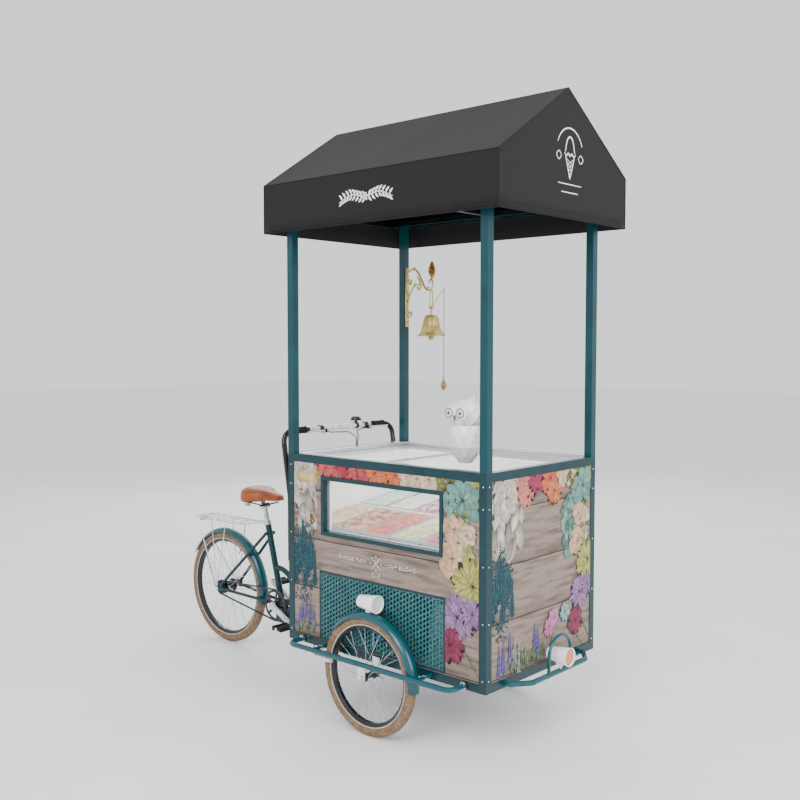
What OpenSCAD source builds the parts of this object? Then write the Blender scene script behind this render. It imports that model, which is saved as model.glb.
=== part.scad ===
/* [Box] */
// Length of the box along the direction of travel
box_l = 1114; // [900:1:1400]
// Width of the box
box_w = 782; // [620:1:960]
// Height of the box frame
box_h = 846; // [760:1:1050]
// Height of the underside of the box above the floor
frame_bottom = 291; // [280:1:330]
// Side of the square frame tube
frame_tube = 35; // [28:1:42]
// Thickness of the wall panels
panel_t = 12; // [8:1:15]
// How far the panels lie behind the face of the frame
panel_recess = 3; // [1:0.5:5]

/* [Display] */
// Clear length of the side window
window_l = 654; // [400:1:700]
// Clear height of the side window
window_h = 225; // [150:1:270]
// Drop from the top of the box to the clear window
window_drop = 104; // [90:1:125]
// Width of the window frame's face
window_frame_w = 17; // [12:1:22]
// Wall of the insulated display tub
tub_wall = 12; // [8:1:15]
// Slope of the deck that carries the pans
deck_slope = 7.5; // [0:0.5:9]
// Number of pans along the box
pan_cols = 6; // [4:1:7]
// Depth of a pan
pan_depth = 100; // [60:1:120]
// Gap between the two rows of pans
row_gap = 30; // [20:1:50]

/* [Canopy] */
// Height of the canopy's lower edge above the floor
headroom = 2115; // [1900:1:2550]
// Depth of the hanging valance
valance_h = 210; // [150:1:260]
// Rise of the roof from eave to ridge
roof_rise = 298; // [220:1:380]
// Overhang of the canopy in front of the box
front_overhang = 94; // [60:1:120]
// Overhang of the canopy behind the box
rear_overhang = 80; // [60:1:120]
// Overhang of the canopy on each side
side_overhang = 63; // [45:1:90]

/* [Wheels] */
// Diameter of a front wheel over its tyre
front_wheel_d = 506; // [440:1:540]
// Diameter of the rear wheel over its tyre
rear_wheel_d = 607; // [540:1:700]
// Width of the tyres
tyre_w = 47; // [38:1:50]
// Distance from the box side to the middle of a front wheel
wheel_gap = 47.5; // [44:0.5:54]
// Place of the front axle along the box, from its middle
front_axle_x = -10; // [-60:1:60]
// Rear axle behind the box's rear end
rear_axle_back = 939; // [900:1:1050]
// Number of spokes in a front wheel
front_spokes = 28; // [16:4:32]
// Number of spokes in the rear wheel
rear_spokes = 36; // [20:4:36]

/* [Rails] */
// Diameter of the side and bumper rails
rail_d = 22; // [18:1:24]
// Length of the side rails between their mounts
rail_l = 916; // [800:1:1000]
// Distance from the box side to the middle of a side rail
rail_gap = 95; // [90:1:110]

/* [Bicycle] */
// Distance from the back of the box to the crank spindle
crank_back = 495; // [470:1:540]
// Height of the crank spindle
crank_z = 283; // [270:1:310]
// Angle of the seat tube to the floor
seat_angle = 75; // [70:1:78]
// Length of the seat tube
seat_tube_l = 434; // [380:1:480]
// Length of a crank arm
crank_l = 160; // [140:1:170]
// Teeth on the chainring
ring_teeth = 40; // [32:1:42]
// Teeth on the rear cog
cog_teeth = 18; // [14:1:22]
// Height of the saddle above the floor
saddle_z = 878; // [840:1:940]

/* [Handlebar] */
// Height of the handlebar
bar_z = 1226; // [1180:1:1290]
// Half the width of the handlebar between tube centres
bar_half = 366; // [330:1:380]
// Diameter of the handlebar tube
bar_d = 25; // [22:1:28]

/* [Bell] */
// Diameter of the bell's mouth
bell_d = 140; // [110:1:142]
// Height of the bell
bell_h = 104; // [85:1:115]
// Height of the bell's pivot above the floor
bell_pivot_z = 1805; // [1780:1:1850]

/* [Hidden] */
$fn = 48;

// Colours
teal = "#0c6a70";
dark_teal = "#07484e";
chrome = "#d5d8da";
steel = "#a9adb0";
black = "#1b1c1e";
charcoal = "#37373b";
wood = "#b9aca0";
white = "#f2f2ef";
brass = "#c9a44c";
tan_rubber = "#a1763f";
glass = "#bfe3e6";
leather = "#b4602f";

// Small standard sizes
fit = 0.05;              // radial clearance of a running fit
gap = 0.3;               // gap between curved faces of different bodies
sheet = 2;               // pressed sheet metal
tube_small = 16;         // round tube of stays and braces
wire = 5;                // rack wire
axle_d = 10;
cable_d = 5;
cord_d = 4;

// Box
hl = box_l / 2;
hw = box_w / 2;
frame_top = frame_bottom + box_h;
floor_z = frame_bottom + frame_tube;
ring_z = frame_top - frame_tube;
panel_out = hw - panel_recess;
panel_in = panel_out - panel_t;
end_out = hl - panel_recess;
end_in = end_out - panel_t;
inner_l = hl - frame_tube;
inner_w = hw - frame_tube;
floor_t = 12;

// Display
window_top = frame_top - window_drop;
window_bottom = window_top - window_h;
tub_x = inner_l - 1;
tub_y = inner_w - 1;
tub_in_x = tub_x - tub_wall;
tub_in_y = tub_y - tub_wall;
pan_rim = sheet;
pan_w = 2 * (tub_in_x - 3) / pan_cols - 4;
pan_pitch = pan_w + 4;
pan_lip = 8;
pan_reach = min(tub_in_y / cos(deck_slope) - 2,
    (tub_in_y - 2 - pan_depth * sin(deck_slope)) / cos(deck_slope) + pan_lip);
pan_l = pan_reach - row_gap / 2;
pan_wall = 1.5;
deck_z = window_bottom + 9 + tub_in_y * tan(deck_slope);
tub_bottom = deck_z - tub_in_y * tan(deck_slope) - pan_depth - 24;

// Counter
rim_w = 20;
glass_t = 6;
lid_t = 5;
lid_z = frame_top - 18;
lid_lap = 26;
fixed_glass_x = -6;

// Canopy
canopy_back = -hl - rear_overhang;
canopy_front = hl + front_overhang;
canopy_l = canopy_front - canopy_back;
canopy_hw = hw + side_overhang;
eave_z = headroom + valance_h;
ridge_z = eave_z + roof_rise;
cover_t = 2.5;
canopy_tube = 25;
tie_z = headroom + 99;

// Wheels
front_r = front_wheel_d / 2;
rear_r = rear_wheel_d / 2;
wheel_y = hw + wheel_gap;
rear_x = -hl - rear_axle_back;
tyre_wall = 3.5;
rim_h = 20;
hub_half = 35;
rear_hub_half = 58;
guard_gap = 10;
guard_t = 2.5;
guard_half = 29;
mudguard_r = rear_r + guard_gap + 3;

// Rails
rail_z = frame_bottom + 17;
rail_y = hw + rail_gap;
rail_x = rail_l / 2;
brace_x = front_r + 42;
bumper_x = hl + 79;

// Lamps
lamp_l = 104;
lamp_r = 38;
lamp_back_r = 26;
lamp_wall = 2.5;
front_lamp_z = rail_z + 64;
front_lamp_x = bumper_x - 56;
side_lamp_z = 2 * front_r + guard_gap + guard_t + lamp_r + 1;
side_lamp_x = front_axle_x - 55;

// Bicycle
pivot_x = -60;
crank_x = -hl - crank_back;
seat_dir = [-cos(seat_angle), 0, sin(seat_angle)];
seat_top = [crank_x, 0, crank_z] + seat_dir * seat_tube_l;
seat_tube_d = 32;
post_d = 27.2;
shell_half = 34;
dropout_y = 68;
beam_w = 50;
beam_h = 75;
beam_z = frame_bottom - 101;
ring_y = -48;
chain_pitch = 12.7;
ring_r = ring_teeth * chain_pitch / (2 * PI);
cog_r = cog_teeth * chain_pitch / (2 * PI);
crank_angle = -27;
arm_t = 14;
arm_y = 60;
pedal_l = 92;
pedal_wide = 66;
pin_d = 30;

// Handlebar
bar_x = -hl - 65;
upright_x = -hl - bar_d / 2 - 3.5;
grip_in = 226;
grip_out = bar_half - 62;
lever_y_right = 130;
lever_y_left = 172;

// Service door
door_w = 260;
door_h = 300;
door_z = frame_bottom + 74;
hinge_pin_d = 6;
hinge_x = -hl - 7;
hinge_y = door_w / 2 + 9;

// Shop bell
post_face_x = -hl + frame_tube;
bell_y = hw - frame_tube / 2;
bell_x = post_face_x + 162;
bell_top = bell_pivot_z - 37;
lever_reach = 80;
lever_rise = 88;
eye_r = 6.5;
clapper_z = bell_top - 18;
pull_x = bell_x + lever_reach;
pull_z = bell_pivot_z + lever_rise;

// Route of the bell's pull cord, in the frame of the box
pull_drop = [0, 10, 30, 60, 90, 120, 150, 180, 210, 240, 270, 300, 330, 360, 390, 410, 430];

// The whole cart is moved so that the middle of its length is at the origin
front_reach = front_lamp_x + lamp_l;
rear_reach = rear_r - rear_x;
box_x = (rear_reach - front_reach) / 2;

// Helpers
function unit(v) = v / norm(v);
function polar(r, a) = [r * cos(a), r * sin(a)];
function tangent(p, i) = unit(p[min(i + 1, len(p) - 1)] - p[max(i - 1, 0)]);

// Points of an arc of radius bend that rounds the corner b between a and c
function corner(a, b, c, bend, steps) =
    let(u = unit(b - a), v = unit(c - b), turn = acos(u * v), n = unit(v - u * (u * v)),
        start = b - u * bend * tan(turn / 2), o = start + n * bend)
    [for (k = [0 : steps]) o - n * bend * cos(turn * k / steps) + u * bend * sin(turn * k / steps)];

// A list of points with every inner corner rounded
function rounded(p, bend, steps = 5) = [
    p[0],
    for (i = [1 : len(p) - 2]) each corner(p[i - 1], p[i], p[i + 1], bend, steps),
    p[len(p) - 1]
];

module cart() {
    translate([box_x, 0, 0]) children();
}

module both_sides() {
    children();
    mirror([0, 1, 0]) children();
}

module block(low, high) {
    translate(low) cube(high - low);
}

module rod(a, b, d) {
    v = b - a;
    translate(a) rotate([0, acos(v[2] / norm(v)), atan2(v[1], v[0])]) cylinder(h = norm(v), d = d);
}

// A round tube swept along points; ref is a direction that no part of the route follows
module sweep(p, d, ref, sides = 12) {
    last = len(p) - 1;
    points = [
        for (i = [0 : last])
            let(t = tangent(p, i), a = unit(cross(t, ref)), b = cross(t, a))
                for (k = [0 : sides - 1])
                    p[i] + d / 2 * (a * cos(360 * k / sides) + b * sin(360 * k / sides))
    ];
    walls = [
        for (i = [0 : last - 1], k = [0 : sides - 1])
            let(m = (k + 1) % sides, s = i * sides)
                each [[s + k, s + sides + m, s + m], [s + k, s + sides + k, s + sides + m]]
    ];
    first_cap = [for (k = [0 : sides - 1]) k];
    last_cap = [for (k = [sides - 1 : -1 : 0]) last * sides + k];
    polyhedron(points = points, faces = concat([first_cap], walls, [last_cap]));
}

// Y axis cylinder centred on a point
module y_rod(at, l, d) {
    translate(at) rotate([90, 0, 0]) cylinder(h = l, d = d, center = true);
}

// X-Z outline extruded along Y between two values
module y_plate(y0, y1) {
    translate([0, y1, 0]) rotate([90, 0, 0]) linear_extrude(y1 - y0) children();
}

// Wheel frame: outlines are drawn in X-Z around the axle
module at_axle(x, y, z) {
    translate([x, y, z]) rotate([90, 0, 0]) children();
}

// Box
module posts(z0, z1, side) {
    for (sx = [-1, 1], sy = [-1, 1])
        translate([sx * (hl - side / 2), sy * (hw - side / 2), (z0 + z1) / 2])
            cube([side, side, z1 - z0], center = true);
}

module frame_ring(z) {
    difference() {
        block([-hl, -hw, z], [hl, hw, z + frame_tube]);
        block([-inner_l, -inner_w, z - 1], [inner_l, inner_w, z + frame_tube + 1]);
    }
}

module box_frame() {
    color(teal) cart() {
        frame_ring(frame_bottom);
        frame_ring(ring_z);
        posts(frame_bottom, frame_top, frame_tube);
        for (x = [-70, 70])
            block([pivot_x + x - frame_tube / 2, -inner_w, frame_bottom],
                [pivot_x + x + frame_tube / 2, inner_w, floor_z]);
    }
}

module floor_panel() {
    color(steel) cart() difference() {
        block([-end_in, -panel_in, floor_z], [end_in, panel_in, floor_z + floor_t]);
        posts(floor_z - 1, ring_z, frame_tube);
    }
}

grille_x = [-358, 356];
grille_z = [floor_z + 4, floor_z + 306];
grille_edge = 13;
sleeve = 8;

module side_wall(windowed) {
    y_plate(-panel_out, -panel_in) difference() {
        translate([-inner_l, floor_z]) square([2 * inner_l, ring_z - floor_z]);
        translate([grille_x[0] + grille_edge, grille_z[0] + grille_edge])
            square([grille_x[1] - grille_x[0] - 2 * grille_edge,
                grille_z[1] - grille_z[0] - 2 * grille_edge]);
        if (windowed)
            translate([-window_l / 2 - sleeve, window_bottom - sleeve])
                square([window_l + 2 * sleeve, window_h + 2 * sleeve]);
    }
}

module side_panels() {
    color(wood) cart() {
        side_wall(true);
        mirror([0, 1, 0]) side_wall(false);
    }
}

module end_panels() {
    color(wood) cart() {
        block([end_in, -inner_w, floor_z], [end_out, inner_w, ring_z]);
        difference() {
            block([-end_out, -inner_w, floor_z], [-end_in, inner_w, ring_z]);
            block([-hl, -door_w / 2, door_z], [-end_in + 1, door_w / 2, door_z + door_h]);
        }
    }
}

module window_frame() {
    color(teal) cart() {
        y_plate(-panel_out - 6, -panel_out) window_ring(window_frame_w);
        y_plate(-panel_out, -tub_y) window_ring(sleeve);
    }
}

module window_ring(w) {
    difference() {
        translate([-window_l / 2 - w, window_bottom - w]) square([window_l + 2 * w, window_h + 2 * w]);
        translate([-window_l / 2, window_bottom]) square([window_l, window_h]);
    }
}

module fixed_glass() {
    color(glass, 0.35) cart() {
        block([-window_l / 2, -panel_in + 4, window_bottom],
            [window_l / 2, -panel_in + 8, window_top]);
        block([fixed_glass_x, -tub_in_y - 4, frame_top - glass_t], [tub_in_x + 4, tub_in_y + 4, frame_top]);
    }
}

slot_pitch_x = 42;
slot_pitch_z = 30;
slot_l = 31;
slot_w = 13;
slot_cols = 16;
slot_rows = 9;

module grille_plate() {
    mid_x = (grille_x[0] + grille_x[1]) / 2;
    mid_z = (grille_z[0] + grille_z[1]) / 2;
    y_plate(-hw, -panel_out) difference() {
        translate([grille_x[0], grille_z[0]])
            square([grille_x[1] - grille_x[0], grille_z[1] - grille_z[0]]);
        for (i = [0 : slot_cols - 1], j = [0 : slot_rows - 1])
            translate([mid_x + (i - (slot_cols - 1) / 2) * slot_pitch_x,
                    mid_z + (j - (slot_rows - 1) / 2) * slot_pitch_z])
                rotate(i % 2 == 0 ? 28 : -28) square([slot_l, slot_w], center = true);
    }
}

module vent_grilles() {
    color(teal) cart() both_sides() grille_plate();
}

module label_plate() {
    color(brass) cart()
        block([-493, -panel_out - 1.5, frame_top - 123], [-388, -panel_out, frame_top - 81]);
}

// Display
module display_tub() {
    color(steel) cart() difference() {
        block([-tub_x, -tub_y, tub_bottom], [tub_x, tub_y, ring_z]);
        block([-tub_in_x, -tub_in_y, tub_bottom + tub_wall], [tub_in_x, tub_in_y, ring_z + 1]);
        block([-window_l / 2, -tub_y - 1, window_bottom], [window_l / 2, -tub_in_y + 1, window_top]);
    }
}

// Repeats its children at every pan, in the sloping plane of the deck
module at_pans() {
    for (i = [0 : pan_cols - 1], j = [-1, 1])
        translate([(i - (pan_cols - 1) / 2) * pan_pitch, j * (pan_l + row_gap) / 2, 0]) children();
}

module on_deck() {
    translate([0, 0, deck_z]) rotate([deck_slope, 0, 0]) children();
}

module pan_deck() {
    color(white) cart() on_deck() difference() {
        half_y = tub_in_y / cos(deck_slope) - 1.5;
        block([-tub_in_x, -half_y, -sheet], [tub_in_x, half_y, 0]);
        at_pans() cube([pan_w - 2 * pan_lip + 1, pan_l - 2 * pan_lip + 1, 9], center = true);
    }
}

module gelato_pans() {
    color(chrome) cart() on_deck() at_pans() difference() {
        union() {
            translate([-pan_w / 2, -pan_l / 2, 0]) cube([pan_w, pan_l, pan_rim]);
            translate([-pan_w / 2 + pan_lip, -pan_l / 2 + pan_lip, -pan_depth])
                cube([pan_w - 2 * pan_lip, pan_l - 2 * pan_lip, pan_depth + 1]);
        }
        translate([-pan_w / 2 + pan_lip + pan_wall, -pan_l / 2 + pan_lip + pan_wall, pan_wall - pan_depth])
            cube([pan_w - 2 * (pan_lip + pan_wall), pan_l - 2 * (pan_lip + pan_wall), pan_depth + 9]);
    }
}

module gelato_fills() {
    fill_w = pan_w - 2 * (pan_lip + pan_wall) - gap;
    fill_l = pan_l - 2 * (pan_lip + pan_wall) - gap;
    color("#f3c9c4") cart() on_deck() at_pans()
        translate([-fill_w / 2, -fill_l / 2, pan_wall - pan_depth])
            cube([fill_w, fill_l, pan_depth - pan_wall + 12]);
}

module counter_rim() {
    color(chrome) cart() {
        difference() {
            block([-inner_l, -inner_w, ring_z], [inner_l, inner_w, frame_top]);
            block([-inner_l + rim_w, -inner_w + rim_w, ring_z - 1],
                [inner_l - rim_w, inner_w - rim_w, frame_top + 1]);
            block([fixed_glass_x, -tub_in_y - 4, frame_top - glass_t],
                [tub_in_x + 4, tub_in_y + 4, frame_top + 1]);
            block([-tub_in_x - 4, -tub_in_y - 5, lid_z - 1], [tub_in_x + 4, tub_in_y + 5, lid_z + lid_t + 1]);
        }
        block([fixed_glass_x - 8, -inner_w + rim_w, lid_z + lid_t + 2.5],
            [fixed_glass_x, inner_w - rim_w, frame_top]);
        for (s = [-1, 1])
            translate([0, s * (inner_w - rim_w - 4), ring_z + 5])
                cube([2 * tub_in_x - 80, 8, 6], center = true);
    }
}

module glass_lid() {
    color(glass, 0.35) cart() {
        block([-tub_in_x - 3, -tub_in_y - 4, lid_z], [lid_lap, tub_in_y + 4, lid_z + lid_t]);
        block([-tub_in_x + 14, -60, lid_z + lid_t], [-tub_in_x + 28, 60, lid_z + lid_t + 12]);
    }
}

// Machine bay
bay_floor = floor_z + floor_t;
fan_y = -inner_w + 176;
fan_z = bay_floor + 162;

module compressor() {
    translate([-250, 60, bay_floor]) {
        translate([-85, -75, 0]) cube([170, 150, 10]);
        translate([0, 0, 9]) cylinder(h = 122, d = 138);
        translate([0, 0, 130]) cylinder(h = 34, d1 = 138, d2 = 70);
        translate([78, 0, 40]) rotate([0, -90, 0]) cylinder(h = 14, d = 30);
    }
}

module condenser() {
    block([-160, -inner_w + 30, bay_floor], [160, -inner_w + 100, bay_floor + 300]);
    difference() {
        block([-150, -inner_w + 99, bay_floor], [150, -inner_w + 112, bay_floor + 290]);
        y_rod([0, -inner_w + 106, fan_z], 40, 236);
    }
    for (a = [0, 90])
        translate([0, -inner_w + 106, fan_z]) rotate([0, a + 45, 0])
            cube([8, 7, 250], center = true);
    y_rod([0, fan_y - 44, fan_z], 60, 44);
    y_rod([0, fan_y, fan_z], 60, 8);
}

module cooling_unit() {
    color(charcoal) cart() {
        compressor();
        condenser();
    }
}

module condenser_fan() {
    color(charcoal) cart() translate([0, fan_y + 8, fan_z]) {
        difference() {
            union() {
                y_rod([0, 0, 0], 24, 50);
                for (k = [0 : 4]) rotate([0, 72 * k, 0]) translate([0, 0, 62])
                    rotate([0, 0, 28]) cube([46, 3, 92], center = true);
            }
            y_rod([0, 0, 0], 60, 8 + 2 * fit);
        }
    }
}

module battery() {
    color(charcoal) cart() {
        block([230, -90, bay_floor], [470, 90, bay_floor + 190]);
        for (y = [-55, 55]) translate([420, y, bay_floor + 190]) cylinder(h = 16, d = 20);
    }
}

module service_door() {
    color(wood) cart() {
        difference() {
            union() {
                block([-end_out, -door_w / 2 + 1, door_z + 1],
                    [-end_in, door_w / 2 - 1, door_z + door_h - 1]);
                block([-end_out - 2, -door_w / 2 - 8, door_z - 8],
                    [-end_out, door_w / 2 - 2, door_z + door_h + 8]);
                for (z = [50, door_h - 50]) {
                    translate([hinge_x, hinge_y, door_z + z]) cylinder(h = 30, d = 12, center = true);
                    block([hinge_x - 2, door_w / 2 - 30, door_z + z - 15],
                        [hinge_x + 2, hinge_y - 4, door_z + z + 15]);
                    block([hinge_x - 2, door_w / 2 - 30, door_z + z - 15],
                        [-end_out, door_w / 2 - 20, door_z + z + 15]);
                }
                block([-end_out - 16, -door_w / 2 + 14, door_z + door_h / 2 - 30],
                    [-end_out - 2, -door_w / 2 + 26, door_z + door_h / 2 + 30]);
            }
            translate([hinge_x, hinge_y, door_z - 20]) cylinder(h = door_h + 40, d = hinge_pin_d + 2 * fit);
        }
    }
}

// Fixed knuckles and pins of the door, on the back panel
module door_hinges() {
    color(steel) cart() for (z = [50, door_h - 50]) translate([0, 0, door_z + z]) {
        translate([hinge_x, hinge_y, 0]) cylinder(h = 52, d = hinge_pin_d, center = true);
        for (s = [-1, 1]) translate([0, 0, s * (20 + gap)]) {
            translate([hinge_x, hinge_y, 0]) cylinder(h = 10, d = 12, center = true);
            block([hinge_x - 2, hinge_y, -5], [hinge_x + 2, hinge_y + 30, 5]);
            block([hinge_x - 2, hinge_y + 18, -5], [-end_out, hinge_y + 30, 5]);
        }
    }
}

// Canopy
function house(w, low, eave, ridge) = [[-w, low], [w, low], [w, eave], [0, ridge], [-w, eave]];

module gable(w, low, eave, ridge, x0, x1) {
    translate([x0, 0, 0]) rotate([90, 0, 90]) linear_extrude(x1 - x0) polygon(house(w, low, eave, ridge));
}

module gable_frame(x) {
    in = cover_t + 1;
    difference() {
        gable(canopy_hw - in, tie_z, eave_z - in, ridge_z - in - 2, x, x + canopy_tube);
        gable(canopy_hw - in - canopy_tube, tie_z + canopy_tube, eave_z - in - 12,
            ridge_z - in - 34, x - 1, x + canopy_tube + 1);
    }
}

module canopy_frame() {
    in = cover_t + 1;
    first = canopy_back + in;
    last = canopy_front - in - canopy_tube;
    color(teal) cart() {
        posts(frame_top, tie_z + canopy_tube, frame_tube);
        for (x = [first, (first + last) / 2, last]) gable_frame(x);
        for (y = [-hw + frame_tube / 2, hw - frame_tube / 2, canopy_tube / 2 + in - canopy_hw,
                canopy_hw - in - canopy_tube / 2])
            block([first, y - canopy_tube / 2, tie_z], [last + canopy_tube, y + canopy_tube / 2, tie_z + canopy_tube]);
        for (s = [-1, 1])
            block([first, s * (canopy_hw - in - canopy_tube / 2) - canopy_tube / 2, eave_z - in - 34],
                [last + canopy_tube, s * (canopy_hw - in - canopy_tube / 2) + canopy_tube / 2, eave_z - in - 16]);
        block([first, -canopy_tube / 2, ridge_z - in - 58], [last + canopy_tube, canopy_tube / 2, ridge_z - in - 33]);
    }
}

module canopy_cover() {
    color(charcoal) cart() difference() {
        gable(canopy_hw, headroom, eave_z, ridge_z, canopy_back, canopy_front);
        gable(canopy_hw - cover_t, headroom - 1, eave_z - cover_t / 2, ridge_z - cover_t - 1,
            canopy_back + cover_t, canopy_front - cover_t);
    }
}

// Rails, fenders and lamps
module side_rail() {
    route = rounded([[-rail_x, -hw, rail_z], [-rail_x, -rail_y, rail_z],
        [rail_x, -rail_y, rail_z], [rail_x, -hw, rail_z]], 38);
    sweep(route, rail_d, [0, 0, 1]);
    for (s = [-1, 1])
        difference() {
            y_rod([front_axle_x + s * brace_x, -(hw + rail_y) / 2, rail_z], rail_y - hw, tube_small);
            translate([0, -rail_y, rail_z]) rotate([0, 90, 0])
                cylinder(h = 4 * brace_x, d = rail_d - 3, center = true, $fn = 12);
        }
}

module side_rails() {
    color(teal) cart() both_sides() side_rail();
}

module guard_section(r) {
    crown = 30;
    intersection() {
        translate([r - crown, 0]) difference() {
            circle(r = crown + guard_t);
            circle(r = crown);
        }
        translate([r - crown + 8, -guard_half]) square([crown, 2 * guard_half]);
    }
}

module guard(r, from, to) {
    rotate([0, 0, from]) rotate_extrude(angle = to - from, $fn = 96) guard_section(r);
}

module front_fender() {
    top = 2 * front_r + guard_gap;
    at_axle(front_axle_x, -wheel_y, front_r) guard(front_r + guard_gap, -4, 137);
    difference() {
        block([front_axle_x - 12, -wheel_y + 10, top - 4], [front_axle_x + 12, -hw, top + guard_t + 3]);
        y_rod([front_axle_x, -hw, front_r], 2 * wheel_y, front_wheel_d + 2 * guard_gap + guard_t);
    }
}

module front_fenders() {
    color(teal) cart() both_sides() front_fender();
}

// A tapered lamp that shines along +X, with the back of its shell at the origin
module lamp_shell() {
    rotate([0, 90, 0]) rotate_extrude()
        polygon([[0, 0], [lamp_back_r - 7, 0], [lamp_back_r, 7], [lamp_r, lamp_l - 4],
            [lamp_r, lamp_l], [lamp_r - lamp_wall, lamp_l], [lamp_r - lamp_wall, lamp_l - 4],
            [lamp_back_r - lamp_wall, 9], [0, 9]]);
}

module lamp_lens() {
    translate([lamp_l - 12, 0, 0]) rotate([0, 90, 0]) cylinder(h = 5, r = lamp_r - lamp_wall - 1.4);
}

module side_lamp() {
    foot = front_r + guard_gap + guard_t + 0.2;
    translate([side_lamp_x, -wheel_y, side_lamp_z]) lamp_shell();
    difference() {
        block([front_axle_x - 11, -wheel_y - 9, front_r + foot - 6], [front_axle_x + 11, -wheel_y + 9, side_lamp_z - 24]);
        y_rod([front_axle_x, -wheel_y, front_r], 60, 2 * foot);
        translate([side_lamp_x + 9, -wheel_y, side_lamp_z]) rotate([0, 90, 0])
            cylinder(h = lamp_l, r1 = lamp_back_r - 1, r2 = lamp_r - 1);
    }
}

module lamp_housings() {
    color(white) cart() {
        both_sides() side_lamp();
        translate([front_lamp_x, 0, front_lamp_z]) lamp_shell();
        difference() {
            for (s = [-1, 1])
                rod([bumper_x, 0, rail_z + 4], [bumper_x - 4 + s * 17, 0, front_lamp_z - 25], 8);
            translate([front_lamp_x + 9, 0, front_lamp_z]) rotate([0, 90, 0])
                cylinder(h = lamp_l, r1 = lamp_back_r - 1, r2 = lamp_r - 1);
            y_rod([bumper_x, 0, rail_z], 60, rail_d + 0.1);
        }
    }
}

module lamp_lenses() {
    color("#e8e2d0") cart() {
        both_sides() translate([side_lamp_x, -wheel_y, side_lamp_z]) lamp_lens();
        translate([front_lamp_x, 0, front_lamp_z]) lamp_lens();
    }
}

module bumper_rail() {
    bar = rounded([[hl, -270, rail_z], [hl + 24, -270, rail_z], [bumper_x, -195, rail_z],
        [bumper_x, 195, rail_z], [hl + 24, 270, rail_z], [hl, 270, rail_z]], 22, 3);
    hoop = rounded([[bumper_x, -80, rail_z], [bumper_x, -80, rail_z + 146],
        [bumper_x, 80, rail_z + 146], [bumper_x, 80, rail_z]], 79, 8);
    color(teal) cart() {
        sweep(bar, rail_d, [0, 0, 1]);
        sweep(hoop, 14, [1, 0, 0]);
    }
}

// Front wheels
plate_t = 6;
plate_w = 40;
plate_drop = 52;

module hex(at, l, across) {
    translate(at) rotate([90, 0, 0]) cylinder(h = l, d = across / cos(30), center = true, $fn = 6);
}

module front_axle() {
    outer = -rail_y;
    difference() {
        block([front_axle_x - plate_w / 2, outer - plate_t / 2, rail_z - rail_d / 2 - plate_drop],
            [front_axle_x + plate_w / 2, outer + plate_t / 2, rail_z]);
        translate([0, outer, rail_z]) rotate([0, 90, 0]) cylinder(h = 900, d = rail_d + 0.1, center = true);
    }
    block([front_axle_x - plate_w / 2, -hw - plate_t, front_r - 25],
        [front_axle_x + plate_w / 2, -hw, floor_z - 6]);
    y_rod([front_axle_x, -(hw + rail_y + 8) / 2, front_r], rail_y - hw + 16, axle_d);
    hex([front_axle_x, -rail_y - plate_t / 2 - 4, front_r], 8, 17);
    y_rod([front_axle_x, -wheel_y + (hub_half + 1.5 + wheel_gap - plate_t) / 2, front_r],
        wheel_gap - plate_t - hub_half - 1.5, 17);
    y_rod([front_axle_x, -(wheel_y + hub_half + 1 + rail_y - plate_t / 2) / 2, front_r],
        rail_y - plate_t / 2 - wheel_y - hub_half - 1, 17);
}

module front_axles() {
    color(chrome) cart() both_sides() front_axle();
}

module tyre(r) {
    rotate_extrude($fn = 96) difference() {
        translate([r - tyre_w / 2, 0]) circle(d = tyre_w);
        translate([r - tyre_w / 2, 0]) circle(d = tyre_w - 2 * tyre_wall);
        translate([0, -tyre_w]) square([rim_r(r), 2 * tyre_w]);
    }
}

function rim_r(r) = r - tyre_w / 2 - 14;

module rim(r) {
    o = rim_r(r);
    rotate_extrude($fn = 96)
        polygon([[o - rim_h, -8], [o - rim_h, 8], [o - 9, 16], [o, 17], [o, 13], [o - 5, 12],
            [o - 5, -12], [o, -13], [o, -17], [o - 9, -16]]);
}

// A hub with its laced spokes; flanges at +-flange, bore on the axle
module hub(r, half, body_d, flange, spokes) {
    rim_in = rim_r(r) - rim_h - gap;
    difference() {
        union() {
            cylinder(h = 2 * half, d = body_d, center = true);
            for (s = [-1, 1]) translate([0, 0, s * flange]) cylinder(h = 3, d = body_d + 24, center = true);
            for (k = [0 : spokes - 1]) {
                s = k % 2 == 0 ? -1 : 1;
                start = polar(body_d / 2 + 8, 360 * k / spokes);
                end = polar(rim_in, 360 * k / spokes);
                rod([start[0], start[1], s * flange], [end[0], end[1], s * 3], 2);
            }
        }
        cylinder(h = 4 * half, d = axle_d + 2 * fit, center = true);
    }
}

module front_wheel_at(side) {
    cart() at_axle(front_axle_x, side * wheel_y, front_r) children();
}

module front_tyre_right() {
    color(tan_rubber) front_wheel_at(-1) tyre(front_r);
}

module front_rim_right() {
    color(black) front_wheel_at(-1) rim(front_r);
}

module front_hub_right() {
    color(steel) front_wheel_at(-1) hub(front_r, hub_half, 28, 28, front_spokes);
}

module front_tyre_left() {
    color(tan_rubber) front_wheel_at(1) tyre(front_r);
}

module front_rim_left() {
    color(black) front_wheel_at(1) rim(front_r);
}

module front_hub_left() {
    color(steel) front_wheel_at(1) hub(front_r, hub_half, 28, 28, front_spokes);
}

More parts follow.
